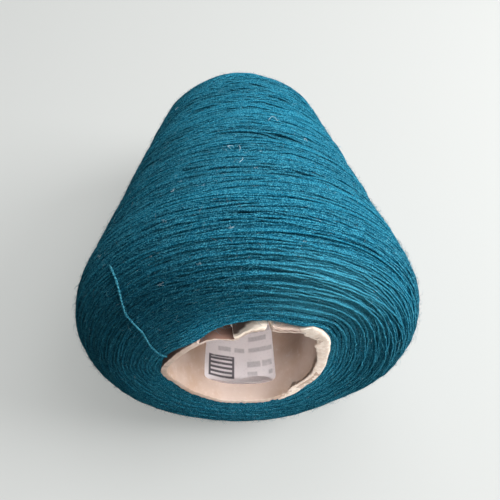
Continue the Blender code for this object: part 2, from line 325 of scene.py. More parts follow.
@dataclass(frozen=True)
class Knock:
    """One place where the mouth has been pushed in or out, angles in degrees."""

    middle: float
    half_width: float
    push: float

    def at(self, angle: Array) -> Array:
        """Push at each angle in radians: a bump round the knock's middle."""
        return self.push * bump(angle, self.middle, self.half_width)


@dataclass(frozen=True)
class ConeSizes:
    """Sizes of the paper cone and the package on it."""

    half_angle: float = 5.95
    length: float = 0.170
    mouth_to_nose: float = 0.1680961
    mouth_radius: float = 0.0342
    mouth_proud: float = 0.0015
    nose_proud: float = 0.0085
    fit_gap: float = 0.0003
    board_wall: float = 0.0013
    liner_wall: float = 0.0009
    shoulder_radius: float = 0.0776
    shoulder_round: float = 0.0221
    face_dish: float = 0.0017
    nose_radius: float = 0.0435
    nose_round: float = 0.0218
    groove_round: float = 0.0022
    squash: float = 0.0010
    knock_depth: float = 0.055
    knock_full: float = 0.0058
    knock_end: float = 0.0278
    paper_knock_depth: float = 0.030
    shoulder_knock_depth: float = 0.040
    shoulder_knock_start: float = 0.032
    shoulder_knock_full: float = 0.010
    lip_full: float = 0.004
    lip_end: float = 0.014
    lip_full_depth: float = 0.003
    lip_end_depth: float = 0.012
    floor_clearance: float = 0.00005

    @property
    def package_length(self) -> float:
        """Depth of the package's nose face."""
        return self.length - self.mouth_proud - self.nose_proud

    @property
    def tilt(self) -> float:
        """Tilt of the axis when the flank lies on the floor."""
        return math.atan2(self.shoulder_radius - self.nose_radius,
                          self.package_length - self.face_dish)

    @property
    def mouth_height(self) -> float:
        """Height of the mouth's middle above the floor."""
        return (self.face_dish * math.sin(self.tilt)
                + self.shoulder_radius * math.cos(self.tilt) - self.squash)

    def paper_radius(self, depth: Array) -> Array:
        """Outer radius of the round paper cone at a depth."""
        return self.mouth_radius - (depth + self.mouth_proud) * math.tan(
            math.radians(self.half_angle))


MOUTH_KNOCKS = (Knock(177.0, 15.0, 0.0029), Knock(42.0, 19.5, 0.0035),
                Knock(120.0, 34.0, -0.0026), Knock(-63.0, 75.0, -0.0090),
                Knock(-74.0, 44.0, 0.0043))
PAPER_KNOCK = Knock(103.0, 12.0, -0.0052)
SHOULDER_KNOCK = Knock(-49.0, 20.0, -0.0045)
LIP_SWELLS = (Knock(131.0, 17.0, 0.0024), Knock(61.0, 9.0, 0.0012))


@dataclass(frozen=True)
class Cone:
    """The cone as a space in which its pieces are drawn."""

    sizes: ConeSizes
    space: ConeSpace

    def knocked(self, radius: Array, angle: Array, depth: Array, paper: bool) -> Array:
        """Radius after the knocks: each adds its push times its bump, fading with depth and radius.

        Args:
            radius: Radii of the round cone.
            angle: Angles in radians.
            depth: Depths from the front face.
            paper: True for the paper, which has one knock more than the yarn.

        Returns:
            The knocked radii.
        """
        sizes = self.sizes
        below = np.maximum(depth, 0.0)
        inside = smooth_step(radius, sizes.mouth_radius + sizes.knock_end,
                             sizes.mouth_radius + sizes.knock_full)
        outside = smooth_step(radius, sizes.shoulder_radius - sizes.shoulder_knock_start,
                              sizes.shoulder_radius - sizes.shoulder_knock_full)
        push = sum(knock.at(angle) for knock in MOUTH_KNOCKS)
        moved = radius + push * inside * np.exp(-((below / sizes.knock_depth) ** 2))
        moved = moved + SHOULDER_KNOCK.at(angle) * outside * np.exp(
            -((below / sizes.shoulder_knock_depth) ** 2))
        if paper:
            moved = moved + PAPER_KNOCK.at(angle) * np.exp(
                -((below / sizes.paper_knock_depth) ** 2))
        return moved

    def swollen(self, radius: Array, angle: Array, depth: Array) -> Array:
        """Depth of the yarn after its lip has swelled forwards, fading outwards and inwards.

        Args:
            radius: Radii of the round package.
            angle: Angles in radians.
            depth: Depths from the front face.

        Returns:
            The swollen depths.
        """
        sizes = self.sizes
        near = smooth_step(radius, sizes.mouth_radius + sizes.lip_end,
                           sizes.mouth_radius + sizes.lip_full)
        fade = smooth_step(depth, sizes.lip_end_depth, sizes.lip_full_depth)
        push = sum(swell.at(angle) for swell in LIP_SWELLS)
        return depth - push * near * fade

    def unpressed(self, radius: Array, angle: Array, depth: Array) -> Array:
        """Points of the knocked package before its lip swells and the floor flattens it."""
        return self.space.world(self.knocked(radius, angle, depth, False), angle, depth)

    def place(self, radius: Array, angle: Array, depth: Array, paper: bool) -> Array:
        """Points of knocked cone places; yarn is pressed flat where it would pass the floor.

        Args:
            radius: Radii of the round cone.
            angle: Angles in radians.
            depth: Depths from the front face.
            paper: True for the paper cone and what is stuck to it.

        Returns:
            Points with one more axis of x, y, z.
        """
        pushed = depth if paper else self.swollen(radius, angle, depth)
        points = self.space.world(self.knocked(radius, angle, depth, paper), angle, pushed)
        if not paper:
            points[..., 2] = np.maximum(points[..., 2], self.sizes.floor_clearance)
        return points


def rounded_corner(before: Array, corner: Array, after: Array, radius: float,
                   steps: int) -> Array:
    """Arc that rounds one corner of a line.

    Args:
        before: Point before the corner.
        corner: The corner.
        after: Point after it.
        radius: Radius of the arc, tangent to both legs.
        steps: Number of chords.

    Returns:
        Points along the arc.
    """
    back, ahead = unit(before - corner), unit(after - corner)
    half = math.acos(float(np.clip(back @ ahead, -1.0, 1.0))) / 2.0
    centre = corner + unit(back + ahead) * radius / math.sin(half)
    start = corner + back * radius / math.tan(half) - centre
    side = math.copysign(1.0, float(back[0] * ahead[1] - back[1] * ahead[0]))
    turn = -side * (math.pi - 2.0 * half) * np.linspace(0.0, 1.0, steps + 1)
    spin = np.stack([np.cos(turn) * start[0] - np.sin(turn) * start[1],
                     np.sin(turn) * start[0] + np.cos(turn) * start[1]], axis=1)
    return centre + spin


class Outline:
    """Section of the package as a line from inside the mouth, round it, to inside the nose.

    Run is the distance along this line.  Each point has a radius, a depth and an outward normal.
    """

    def __init__(self, sizes: ConeSizes) -> None:
        """Draws the line from the package's corners and roundings.

        Args:
            sizes: Sizes of the cone.
        """
        tuck = 0.008
        soften = 4
        end = sizes.package_length

        def bore(depth: float) -> tuple[float, float]:
            """A point on the package's bore."""
            return float(sizes.paper_radius(depth)) + sizes.fit_gap, depth

        corners = [bore(tuck), bore(0.0), (sizes.shoulder_radius, sizes.face_dish),
                   (sizes.nose_radius, end), bore(end), bore(end - tuck)]
        radii = [sizes.groove_round, sizes.shoulder_round, sizes.nose_round, sizes.groove_round]
        keys = [np.array(c) for c in corners]
        line = [keys[0][None]]
        for index, radius in enumerate(radii, start=1):
            line.append(rounded_corner(*keys[index - 1:index + 2], radius, ARC_STEPS))
        line.append(keys[-1][None])
        points = np.vstack(line)
        run = run_along(points)
        self.length = float(run[-1])
        self.run = np.arange(0.0, self.length, RUN_PITCH)
        self.radius, self.depth = read_line(self.run, run, points).T
        along = unit(np.stack([np.gradient(self.radius), np.gradient(self.depth)], axis=1))
        self.normal = unit(np.stack([blur(along[:, 1], soften), blur(-along[:, 0], soften)],
                                    axis=1))

    def at(self, run: Array, lift: Array) -> tuple[Array, Array]:
        """Radius and depth a given height above the line.

        Args:
            run: Distances along the line.
            lift: Heights along the outward normal.

        Returns:
            Radii and depths.
        """
        radius = np.interp(run, self.run, self.radius)
        depth = np.interp(run, self.run, self.depth)
        return (radius + lift * np.interp(run, self.run, self.normal[:, 0]),
                depth + lift * np.interp(run, self.run, self.normal[:, 1]))

    def bake_spot(self, angle: Array, run: Array) -> Array:
        """Place on the bake map: the turn round the package by the run along the outline."""
        return np.stack([(angle / FULL_TURN) % 1.0 * BAKE_AROUND + BAKE_LEFT,
                         run / self.length * BAKE_ALONG + BAKE_LOW], axis=-1)


# ---- shader writing
class Sock:
    """A shader socket on which the usual arithmetic writes Math nodes."""

    def __init__(self, graph: "Graph", socket: bpy.types.NodeSocket) -> None:
        """Wraps one output socket of a graph."""
        self.graph = graph
        self.socket = socket

    def _math(self, operation: str, *values: "Sock | float") -> "Sock":
        """Adds one Math node and gives its result."""
        return self.graph.node("ShaderNodeMath", {"operation": operation},
                               dict(enumerate(values)))

    def __add__(self, other: "Sock | float") -> "Sock":
        """Sum."""
        return self._math("ADD", self, other)

    def __radd__(self, other: float) -> "Sock":
        """Sum with a number on the left."""
        return self._math("ADD", other, self)

    def __sub__(self, other: "Sock | float") -> "Sock":
        """Difference."""
        return self._math("SUBTRACT", self, other)

    def __rsub__(self, other: float) -> "Sock":
        """Difference from a number."""
        return self._math("SUBTRACT", other, self)

    def __mul__(self, other: "Sock | float") -> "Sock":
        """Product."""
        return self._math("MULTIPLY", self, other)

    def __rmul__(self, other: float) -> "Sock":
        """Product with a number on the left."""
        return self._math("MULTIPLY", other, self)

    def sine(self) -> "Sock":
        """Sine of an angle in radians."""
        return self._math("SINE", self)

    def fraction(self) -> "Sock":
        """What is left after the whole number."""
        return self._math("FRACT", self)

    def rise(self, low: float, high: float) -> "Sock":
        """Rises smoothly from 0 at low to 1 at high.

        Args:
            low: Where it leaves 0.
            high: Where it reaches 1.

        Returns:
            The risen value.
        """
        settings = {"interpolation_type": "SMOOTHSTEP", "clamp": True}
        return self.graph.node("ShaderNodeMapRange", settings,
                               {"Value": self, "From Min": low, "From Max": high})


class Graph:
    """The node tree of one material."""

    def __init__(self, name: str) -> None:
        """Starts an empty material with an output.

        Args:
            name: The material's name.
        """
        self.material = bpy.data.materials.new(name)
        self.material.use_nodes = True
        self.tree = self.material.node_tree
        self.tree.nodes.clear()
        self.output = self.tree.nodes.new("ShaderNodeOutputMaterial")

    def node(self, kind: str, settings: dict[str, object] | None = None,
             sockets: dict[str | int, object] | None = None, out: str | int = 0) -> Sock:
        """Adds a node, its settings first and then its sockets.

        Args:
            kind: The node's type.
            settings: Its attributes, such as a Math node's operation.
            sockets: Values or links by socket name or number.
            out: Name or number of the output wanted.

        Returns:
            That output.
        """
        made = self.tree.nodes.new(kind)
        for key, value in (settings or {}).items():
            setattr(made, key, value)
        for key, value in (sockets or {}).items():
            target = made.inputs[key]
            if isinstance(value, Sock):
                self.tree.links.new(value.socket, target)
            elif isinstance(value, tuple) and len(value) == 3 and target.type == "RGBA":
                target.default_value = (*value, 1.0)
            else:
                target.default_value = value
        return Sock(self, made.outputs[out])

    def place(self) -> Sock:
        """Object coordinates, which are the piece's own metres."""
        return self.node("ShaderNodeTexCoord", out="Object")

    def map(self, name: str) -> Sock:
        """A UV map of the piece."""
        return self.node("ShaderNodeUVMap", {"uv_map": name})

    def value(self, name: str) -> Sock:
        """A float attribute of the piece."""
        return self.node("ShaderNodeAttribute", {"attribute_name": name}, out="Fac")

    def parts(self, vector: Sock) -> tuple[Sock, Sock, Sock]:
        """Splits a vector into its three numbers."""
        first = self.node("ShaderNodeSeparateXYZ", None, {0: vector})
        return tuple(Sock(self, output) for output in first.socket.node.outputs)

    def vector(self, x: "Sock | float", y: "Sock | float", z: "Sock | float") -> Sock:
        """Joins three numbers into a vector."""
        return self.node("ShaderNodeCombineXYZ", None, {0: x, 1: y, 2: z})

    def scaled(self, vector: Sock, factors: tuple[float, float, float]) -> Sock:
        """Stretches a vector by a factor along each axis."""
        return self.node("ShaderNodeVectorMath", {"operation": "MULTIPLY"},
                         {0: vector, 1: factors})

    def noise(self, vector: Sock, scale: float, detail: float = 2.0,
              roughness: float = 0.5) -> Sock:
        """Noise from 0 to 1.

        Args:
            vector: Where to read it.
            scale: Lumps in one unit of the vector.
            detail: Octaves.
            roughness: Share of the finer octaves.

        Returns:
            The noise value.
        """
        return self.node("ShaderNodeTexNoise", None,
                         {"Vector": vector, "Scale": scale, "Detail": detail,
                          "Roughness": roughness})

    def mix(self, factor: "Sock | float", first: object, second: object) -> Sock:
        """Mixes two colours.

        Args:
            factor: Share of the second, held between 0 and 1.
            first: Colour or link.
            second: Colour or link.

        Returns:
            The mixed colour.
        """
        factor_in, first_in, second_in, colour_out = 0, 6, 7, 2
        return self.node("ShaderNodeMix", {"data_type": "RGBA", "clamp_factor": True},
                         {factor_in: factor, first_in: first, second_in: second}, colour_out)

    def relief(self, height: Sock, distance: float, strength: float = 1.0) -> Sock:
        """Turns a height from 0 to 1 into a bumped normal; distance is the metres that 1 stands for."""
        return self.node("ShaderNodeBump", None, {"Height": height, "Distance": distance,
                                                  "Strength": strength})

    def finish(self, **sockets: object) -> bpy.types.Material:
        """Closes the graph with a Principled shader.

        Args:
            sockets: Its inputs by name, with _ for each space.

        Returns:
            The material.
        """
        named = {key.replace("_", " "): value for key, value in sockets.items()}
        shader = self.node("ShaderNodeBsdfPrincipled", None, named)
        self.tree.links.new(shader.socket, self.output.inputs["Surface"])
        return self.material


def linear(red: int, green: int, blue: int) -> tuple[float, float, float]:
    """Turns a screen colour into linear light.

    Args:
        red: From 0 to 255.
        green: From 0 to 255.
        blue: From 0 to 255.

    Returns:
        The three channels, each from 0 to 1.
    """
    def one(value: float) -> float:
        """One channel."""
        share = value / 255.0
        return share / 12.92 if share <= 0.04045 else ((share + 0.055) / 1.055) ** 2.4
    return one(red), one(green), one(blue)


# ---- finishes
@dataclass(frozen=True)
class YarnFinish:
    """Fine matt heather yarn: plied twist, flecks of lighter fibre, tone that drifts, painted light and
    shade.
    """

    name: str
    dark: tuple[float, float, float] = linear(6, 58, 80)
    body: tuple[float, float, float] = linear(18, 116, 146)
    light: tuple[float, float, float] = linear(88, 180, 202)

    def make(self) -> bpy.types.Material:
        """Writes the material from the map Yarn (length, way round) and values tone and shade; shade
        paints light and shade.

        Returns:
            The material.
        """
        twists = 833.0
        g = Graph(self.name)
        along, around, _ = g.parts(g.map("Yarn"))
        tone = g.value("tone")
        place = g.place()
        twist = ((along * twists + around * 2.0) * FULL_TURN).sine() * 0.5 + 0.5
        streak = g.noise(g.vector(along * 520.0, around * 3.0, tone * 41.0), 1.0, 3.0, 0.6)
        flecks = g.noise(place, 900.0, 2.0, 0.6)
        fine = g.noise(place, 2300.0, 1.0, 0.5)
        drift = g.noise(place, 45.0, 2.0, 0.5)
        mixed = (tone * 0.34 + drift.rise(0.3, 0.7) * 0.22 + streak.rise(0.32, 0.68) * 0.30
                 + flecks.rise(0.34, 0.66) * 0.22)
        colour = g.mix(mixed, self.dark, self.body)
        colour = g.mix(streak.rise(0.46, 0.72) * flecks.rise(0.40, 0.64) * 0.75, colour,
                       self.light)
        colour = g.mix(fine.rise(0.50, 0.66) * 0.58, colour, self.light)
        colour = g.mix(fine.rise(0.49, 0.34) * 0.80, colour, self.dark)
        colour = g.mix(twist * 0.20, colour, self.dark)
        # Painted light and shade: shade above 0 darkens towards dark, below 0 lightens towards light.
        shade = g.value("shade")
        colour = g.mix(shade, colour, self.dark)
        colour = g.mix(shade * -1.0, colour, self.light)
        height = twist * 0.7 + fine * 0.5
        return g.finish(Base_Color=colour, Roughness=0.95, Sheen_Weight=0.13,
                        Sheen_Roughness=0.5, Sheen_Tint=linear(90, 196, 216),
                        Specular_IOR_Level=0.06, Normal=g.relief(height, 0.00016, 0.8))


@dataclass(frozen=True)
class PaperFinish:
    """Soft grey-brown cone board: mottled fibre, stains, and painted shade and light near the mouth."""

    name: str
    body: tuple[float, float, float] = linear(211, 189, 177)
    stain: tuple[float, float, float] = linear(196, 167, 148)
    pale: tuple[float, float, float] = linear(224, 208, 198)
    # Brown of the outer side, partly the board's own brown and partly painted shade of the yarn's lip.
    kraft_and_shade: tuple[float, float, float] = linear(140, 102, 88)
    # Pale bared fibre, partly painted light where the yarn's shadow falls on the torn strip.
    torn: tuple[float, float, float] = linear(252, 234, 216)
    # Colour of the painted shade in the gap beside the yarn and on the deep right wall.
    gap: tuple[float, float, float] = linear(52, 38, 34)

    def make(self) -> bpy.types.Material:
        """Writes the material from the piece's own metres and three values.

        Outside browns its outer side, partly as painted shade; torn bares pale fibre, partly as painted
        light; painted_shade darkens it beside the yarn and on the deep right wall.

        Returns:
            The material.
        """
        g = Graph(self.name)
        place = g.place()
        cloud = g.noise(place, 55.0, 3.0, 0.55)
        mottle = g.noise(place, 420.0, 3.0, 0.6)
        fibre = g.noise(g.scaled(place, (900.0, 300.0, 900.0)), 1.0, 3.0, 0.7)
        colour = g.mix(cloud.rise(0.35, 0.70), self.body, self.stain)
        colour = g.mix(mottle.rise(0.50, 0.85) * 0.5, colour, self.pale)
        colour = g.mix(fibre.rise(0.62, 0.80) * 0.35, colour, self.stain)
        # Brown outer side, partly the board's own brown and partly painted shade of the yarn's lip.
        colour = g.mix(g.value("outside") * 0.9, colour, self.kraft_and_shade)
        # Paler bared fibre on the torn strip, partly painted light against the yarn's shadow.
        colour = g.mix(g.value("torn"), colour, self.torn)
        # Painted shade beside the yarn and on the deep right inner wall.
        colour = g.mix(g.value("painted_shade") * 0.85, colour, self.gap)
        return g.finish(Base_Color=colour, Roughness=0.88, Specular_IOR_Level=0.25,
                        Normal=g.relief(mottle * 0.5 + fibre * 0.6, 0.00018, 0.6))


@dataclass(frozen=True)
class PulpFinish:
    """Torn board: pale open fibre."""

    name: str
    body: tuple[float, float, float] = linear(248, 230, 216)
    shade: tuple[float, float, float] = linear(232, 208, 190)

    def make(self) -> bpy.types.Material:
        """Writes the material from the piece's own metres.

        Returns:
            The material.
        """
        g = Graph(self.name)
        place = g.place()
        fibre = g.noise(g.scaled(place, (1400.0, 700.0, 1400.0)), 1.0, 4.0, 0.75)
        lumps = g.noise(place, 600.0, 3.0, 0.65)
        colour = g.mix(lumps.rise(0.35, 0.65), self.shade, self.body)
        colour = g.mix(fibre.rise(0.55, 0.80) * 0.4, colour, self.shade)
        return g.finish(Base_Color=colour, Roughness=0.95, Sheen_Weight=0.2,
                        Specular_IOR_Level=0.15,
                        Normal=g.relief(fibre * 0.7 + lumps, 0.00022, 0.8))


@dataclass(frozen=True)
class LabelFinish:
    """Pale label paper with a plain grey block and short ruled bars."""

    name: str
    paper: tuple[float, float, float] = linear(246, 238, 240)
    ink: tuple[float, float, float] = linear(84, 78, 84)

    def make(self) -> bpy.types.Material:
        """Writes the material; it reads the map Print, 0 to 1 across and along.

        Returns:
            The material.
        """
        g = Graph(self.name)
        across, along, _ = g.parts(g.map("Print"))

        def bar(left: float, right: float, low: float, high: float, soft: float = 0.006) -> Sock:
            """One ruled bar with soft edges.

            Args:
                left: Its left side, as a share of the label's width.
                right: Its right side.
                low: Its lower end, as a share of the label's length.
                high: Its upper end.
                soft: Half the width of its edges.

            Returns:
                1 on the bar and 0 off it.
            """
            sides = across.rise(left - soft, left + soft) - across.rise(right - soft, right + soft)
            ends = along.rise(low - soft, low + soft) - along.rise(high - soft, high + soft)
            return sides * ends

        place = g.place()
        grain = g.noise(place, 900.0, 3.0, 0.6)
        wear = g.noise(place, 260.0, 2.0, 0.5)
        block = bar(0.06, 0.425, 0.050, 0.290)
        stripes = (along * 21.0).fraction().rise(0.42, 0.62) * bar(0.09, 0.395, 0.070, 0.270)
        ink = block * 0.95 - stripes * 0.80
        for left, right, low, high in ((0.605, 0.79, 0.178, 0.240), (0.815, 0.96, 0.178, 0.240),
                                       (0.605, 0.74, 0.082, 0.128), (0.90, 0.96, 0.082, 0.128),
                                       (0.19, 0.37, 0.345, 0.395), (0.43, 0.57, 0.345, 0.395),
                                       (0.63, 0.98, 0.345, 0.395), (0.63, 0.90, 0.475, 0.530),
                                       (0.63, 0.78, 0.575, 0.640), (0.81, 0.97, 0.575, 0.640)):
            ink = ink + bar(left, right, low, high, 0.010) * (0.22 + grain * 0.24)
        ink = ink * (1.0 - wear.rise(0.55, 0.75) * 0.35)
        colour = g.mix(ink, self.paper, self.ink)
        colour = g.mix(grain.rise(0.5, 0.8) * 0.12, colour, self.ink)
        return g.finish(Base_Color=colour, Roughness=0.72, Specular_IOR_Level=0.3,
                        Normal=g.relief(grain, 0.00006, 0.5))


@dataclass(frozen=True)
class LintFinish:
    """Pale fibre caught on the yarn."""

    name: str
    colour: tuple[float, float, float] = linear(190, 226, 240)

    def make(self) -> bpy.types.Material:
        """Writes the material.

        Returns:
            The material.
        """
        g = Graph(self.name)
        fibre = g.noise(g.place(), 3000.0, 2.0, 0.6)
        shade = tuple(0.6 * c for c in self.colour)
        return g.finish(Base_Color=g.mix(fibre, shade, self.colour), Roughness=0.95,
                        Sheen_Weight=0.3)


@dataclass(frozen=True)
class FloorFinish:
    """Plain pale floor that throws back less light than it shows."""

    name: str
    colour: tuple[float, float, float] = (0.32, 0.325, 0.32)
    glow: tuple[float, float, float] = (0.33, 0.34, 0.33)
    bounce: tuple[float, float, float] = (0.16, 0.22, 0.21)

    def make(self) -> bpy.types.Material:
        """Writes the material: pale to the viewer, dimmer to the light that it throws back.

        Returns:
            The material.
        """
        g = Graph(self.name)
        seen = g.node("ShaderNodeLightPath", out="Is Camera Ray")
        colour = g.mix(seen, self.bounce, self.colour)
        glow = g.mix(seen, (0.0, 0.0, 0.0), self.glow)
        return g.finish(Base_Color=colour, Roughness=0.85, Specular_IOR_Level=0.1,
                        Emission_Color=glow, Emission_Strength=1.0)


def dress(obj: bpy.types.Object, material: bpy.types.Material, slot: str,
          *nodes: str) -> bpy.types.Object:
    """Gives a piece its material and its body, and hides the model pieces it stands for.

    Args:
        obj: The piece.
        material: Its finish.
        slot: Material slot of the record; not used.
        nodes: Model pieces that it replaces.

    Returns:
        The piece.
    """
    obj.data.materials.clear()
    obj.data.materials.append(material)
    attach(obj, "root")
    if nodes:
        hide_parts(*nodes)
    obj.data.calc_loop_triangles()
    LOG.info("%s: %d triangles", obj.name, len(obj.data.loop_triangles))
    return obj


# ---- strands
@dataclass(frozen=True)
class Strand:
    """One laid stretch of yarn: where it runs on the package and how high it lies."""

    angle: Array
    run: Array
    lift: Array
    tone: float
    half_width: float

    def pieces(self, shown: Array) -> "list[Strand]":
        """Cuts out the stretches that show.

        Args:
            shown: True for each sample that can be seen.

        Returns:
            The stretches of four samples and more, each two samples longer at both ends.
        """
        widened = 5
        wide = np.convolve(shown, np.ones(widened), mode="same") > 0
        edges = np.flatnonzero(np.diff(np.concatenate([[0], wide.astype(int), [0]])))
        return [Strand(self.angle[a:b], self.run[a:b], self.lift[a:b], self.tone,
                       self.half_width)
                for a, b in zip(edges[::2], edges[1::2]) if b - a > 3]


@dataclass(frozen=True)
class Section:
    """Cross-section of a strand on the package, a flattened ring."""

    sides: int = 5
    flat: float = 0.88

    def ring(self, half_width: float) -> tuple[Array, Array]:
        """Offsets of the ring's points across the strand and away from the package."""
        turn = FULL_TURN * (np.arange(self.sides) + 0.5) / self.sides + math.pi / 2.0
        return half_width * np.cos(turn), half_width * self.flat * np.sin(turn)


class StrandMesh:
    """Collects strands into one mesh, mapped both along the yarn and over the package."""

    def __init__(self, cone: Cone, outline: Outline) -> None:
        """Starts empty.

        Args:
            cone: The cone's space.
            outline: Section of the package.
        """
        self.cone = cone
        self.outline = outline
        self.section = Section()
        self.points: list[Array] = []
        self.quads: list[Array] = []
        self.caps: list[Array] = []
        self.bake: list[Array] = []
        self.yarn: list[Array] = []
        self.cap_bake: list[Array] = []
        self.cap_yarn: list[Array] = []
        self.tone: list[Array] = []
        self.shade: list[Array] = []
        self.count = 0

    def rings(self, strand: Strand) -> tuple[Array, Array]:
        """Rings of a strand: its centre line is the outline at each run, lifted and turned round.

        Each ring stands on the line's own frame: along the line, across it on the package, and
        away from the package.

        Args:
            strand: The strand.

        Returns:
            Points ring by ring, and the distance of each ring along the strand.
        """
        low_clearance = 0.00002
        radius, depth = self.outline.at(strand.run, strand.lift)
        centre = self.cone.place(radius, strand.angle, depth, paper=False)
        high_radius, high_depth = self.outline.at(strand.run, strand.lift + FRAME_HEIGHT)
        out = unit(self.cone.unpressed(high_radius, strand.angle, high_depth)
                   - self.cone.unpressed(radius, strand.angle, depth))
        along = unit(np.gradient(centre, axis=0))
        across = unit(np.cross(out, along))
        sideways, outwards = self.section.ring(strand.half_width)
        ring = (centre[:, None] + across[:, None] * sideways[None, :, None]
                + out[:, None] * outwards[None, :, None])
        ring[..., 2] = np.maximum(ring[..., 2], low_clearance)
        return ring, run_along(centre)

    def add(self, strand: Strand) -> None:
        """Adds one strand with its two maps: the bake map lays it out over the package, and the
        map Yarn holds the distance along it and the way round it.

        Args:
            strand: The strand.
        """
        ring, length = self.rings(strand)
        count, sides = ring.shape[:2]
        quads = grid_quads(count, sides, False, True)
        row, column = quads[:, 0] // sides, quads[:, 0] % sides
        corner_row = np.stack([row, row, row + 1, row + 1], axis=1)
        corner_side = np.stack([column, column + 1, column + 1, column], axis=1)
        start = (strand.angle[row] / FULL_TURN) % 1.0
        swing = (strand.angle[corner_row] - strand.angle[row][:, None]) / FULL_TURN
        sideways = self.section.ring(strand.half_width)[0]
        spread = np.append(sideways, sideways[0])[corner_side]
        u = (start[:, None] + swing) * BAKE_AROUND + BAKE_LEFT
        v = (strand.run[corner_row] + spread) / self.outline.length * BAKE_ALONG + BAKE_LOW
        self.bake.append(np.stack([u, v], axis=-1)[:, ::-1].reshape(-1, 2))
        self.yarn.append(np.stack([length[corner_row], corner_side / sides],
                                  axis=-1)[:, ::-1].reshape(-1, 2))
        corners = 3 * (sides - 2)
        for end, order in ((0, 1), (count - 1, -1)):
            rim = end * sides + np.arange(sides)[::order] + self.count
            self.caps.append(np.stack([np.full(sides - 2, rim[0]), rim[1:-1], rim[2:]], axis=1))
            spot = self.outline.bake_spot(strand.angle[end:end + 1], strand.run[end:end + 1])
            self.cap_bake.append(np.repeat(spot, corners, axis=0))
            self.cap_yarn.append(np.repeat([[length[end], 0.0]], corners, axis=0))
        self.points.append(ring.reshape(-1, 3))
        self.quads.append(quads[:, ::-1] + self.count)
        self.tone.append(np.full(count * sides, strand.tone))
        # Painted light and shade over the shoulder, in the value shade.
        self.shade.append(np.repeat(self.painted_light_and_shade(strand.angle, strand.run), sides))
        self.count += count * sides

    @staticmethod
    def painted_light_and_shade(angle: Array, run: Array) -> Array:
        """Painted light and shade over the shoulder: bumps round the circle, kept near the mouth.

        Args:
            angle: Angles in radians.
            run: Runs along the outline.

        Returns:
            Above 0 where shade is painted on, below 0 where light is painted on.
        """
        near = smooth_step(run, 0.010, 0.018) * smooth_step(run, 0.048, 0.032)
        return near * (0.50 * bump(angle, 124.0, 24.0) + 0.34 * bump(angle, 172.0, 24.0)
                       - 0.34 * bump(angle, 58.0, 24.0))

    @property
    def triangles(self) -> int:
        """Triangles collected so far."""
        return sum(2 * len(q) for q in self.quads) + sum(len(c) for c in self.caps)

    def build(self, name: str) -> bpy.types.Object:
        """Makes the object from what was collected.

        Args:
            name: The piece's name.

        Returns:
            The object.
        """
        return mesh_object(
            name, np.vstack(self.points), np.vstack(self.quads), np.vstack(self.caps),
            {"OFBake": np.vstack([*self.bake, *self.cap_bake]),
             "Yarn": np.vstack([*self.yarn, *self.cap_yarn])},
            {"tone": np.concatenate(self.tone), "shade": np.concatenate(self.shade)})


@dataclass(frozen=True)
class Family:
    """Passes of yarn laid between two runs, up and back down, a fixed advance for each turn."""

    low: float
    high: float
    advance: float
    passes: int
    scatter: float
    sway: float


class ReliefMap:
    """Height of the yarn laid so far, over angle and run."""

    columns = 360
    reach = 2
    cover_reach = 3

    def __init__(self, outline: Outline) -> None:
        """Starts level."""
        self.cells = len(outline.run)
        self.height = np.zeros((self.columns, self.cells))

    def cell(self, angle: Array, run: Array) -> tuple[Array, Array]:
        """Cell numbers of places on the package, one column to a degree."""
        column = np.floor(np.degrees(angle)).astype(int) % self.columns
        return column, np.clip((run / RUN_PITCH).astype(int), 0, self.cells - 1)

    def read(self, column: Array, row: Array) -> Array:
        """Heights of cells; the columns go round and the rows stop at their ends."""
        return self.height[column % self.columns, np.clip(row, 0, self.cells - 1)]

    def under(self, angle: Array, run: Array) -> Array:
        """Mean height under a strand's width.

        Args:
            angle: Angles in radians.
            run: Runs along the outline.

        Returns:
            One height for each place.
        """
        column, row = self.cell(angle, run)
        near = range(-self.reach, self.reach + 1)
        return np.mean([self.read(column, row + offset) for offset in near], axis=0)

    def slope(self, angle: Array, run: Array) -> Array:
        """Rise of the laid yarn across a strand, per metre."""
        side = 0.0006
        return (self.under(angle, run + side) - self.under(angle, run - side)) / (2.0 * side)

    def cover(self, angle: Array, run: Array) -> Array:
        """Lowest height within three quarters of a millimetre and a degree of each place.

        Args:
            angle: Angles in radians.
            run: Runs along the outline.

        Returns:
            One height for each place.
        """
        column, row = self.cell(angle, run)
        near = range(-self.cover_reach, self.cover_reach + 1)
        return np.min([self.read(column + side, row + offset)
                       for offset in near for side in (-1, 0, 1)], axis=0)

    def lay(self, angle: Array, run: Array, lift: Array, half_width: float) -> None:
        """Raises the map along a strand to its round top: crown * sqrt(1 - share^2) half-widths.

        Args:
            angle: Angles of the strand in radians.
            run: Its runs along the outline.
            lift: Its heights.
            half_width: Half its width.
        """
        column, row = self.cell(angle, run)
        for offset in range(-self.reach, self.reach + 1):
            share = abs(offset) * RUN_PITCH / (half_width * 1.05)
            top = lift + half_width * CROWN * math.sqrt(max(0.0, 1.0 - share * share))
            place = np.clip(row + offset, 0, self.cells - 1)
            np.maximum.at(self.height, (column, place), top)


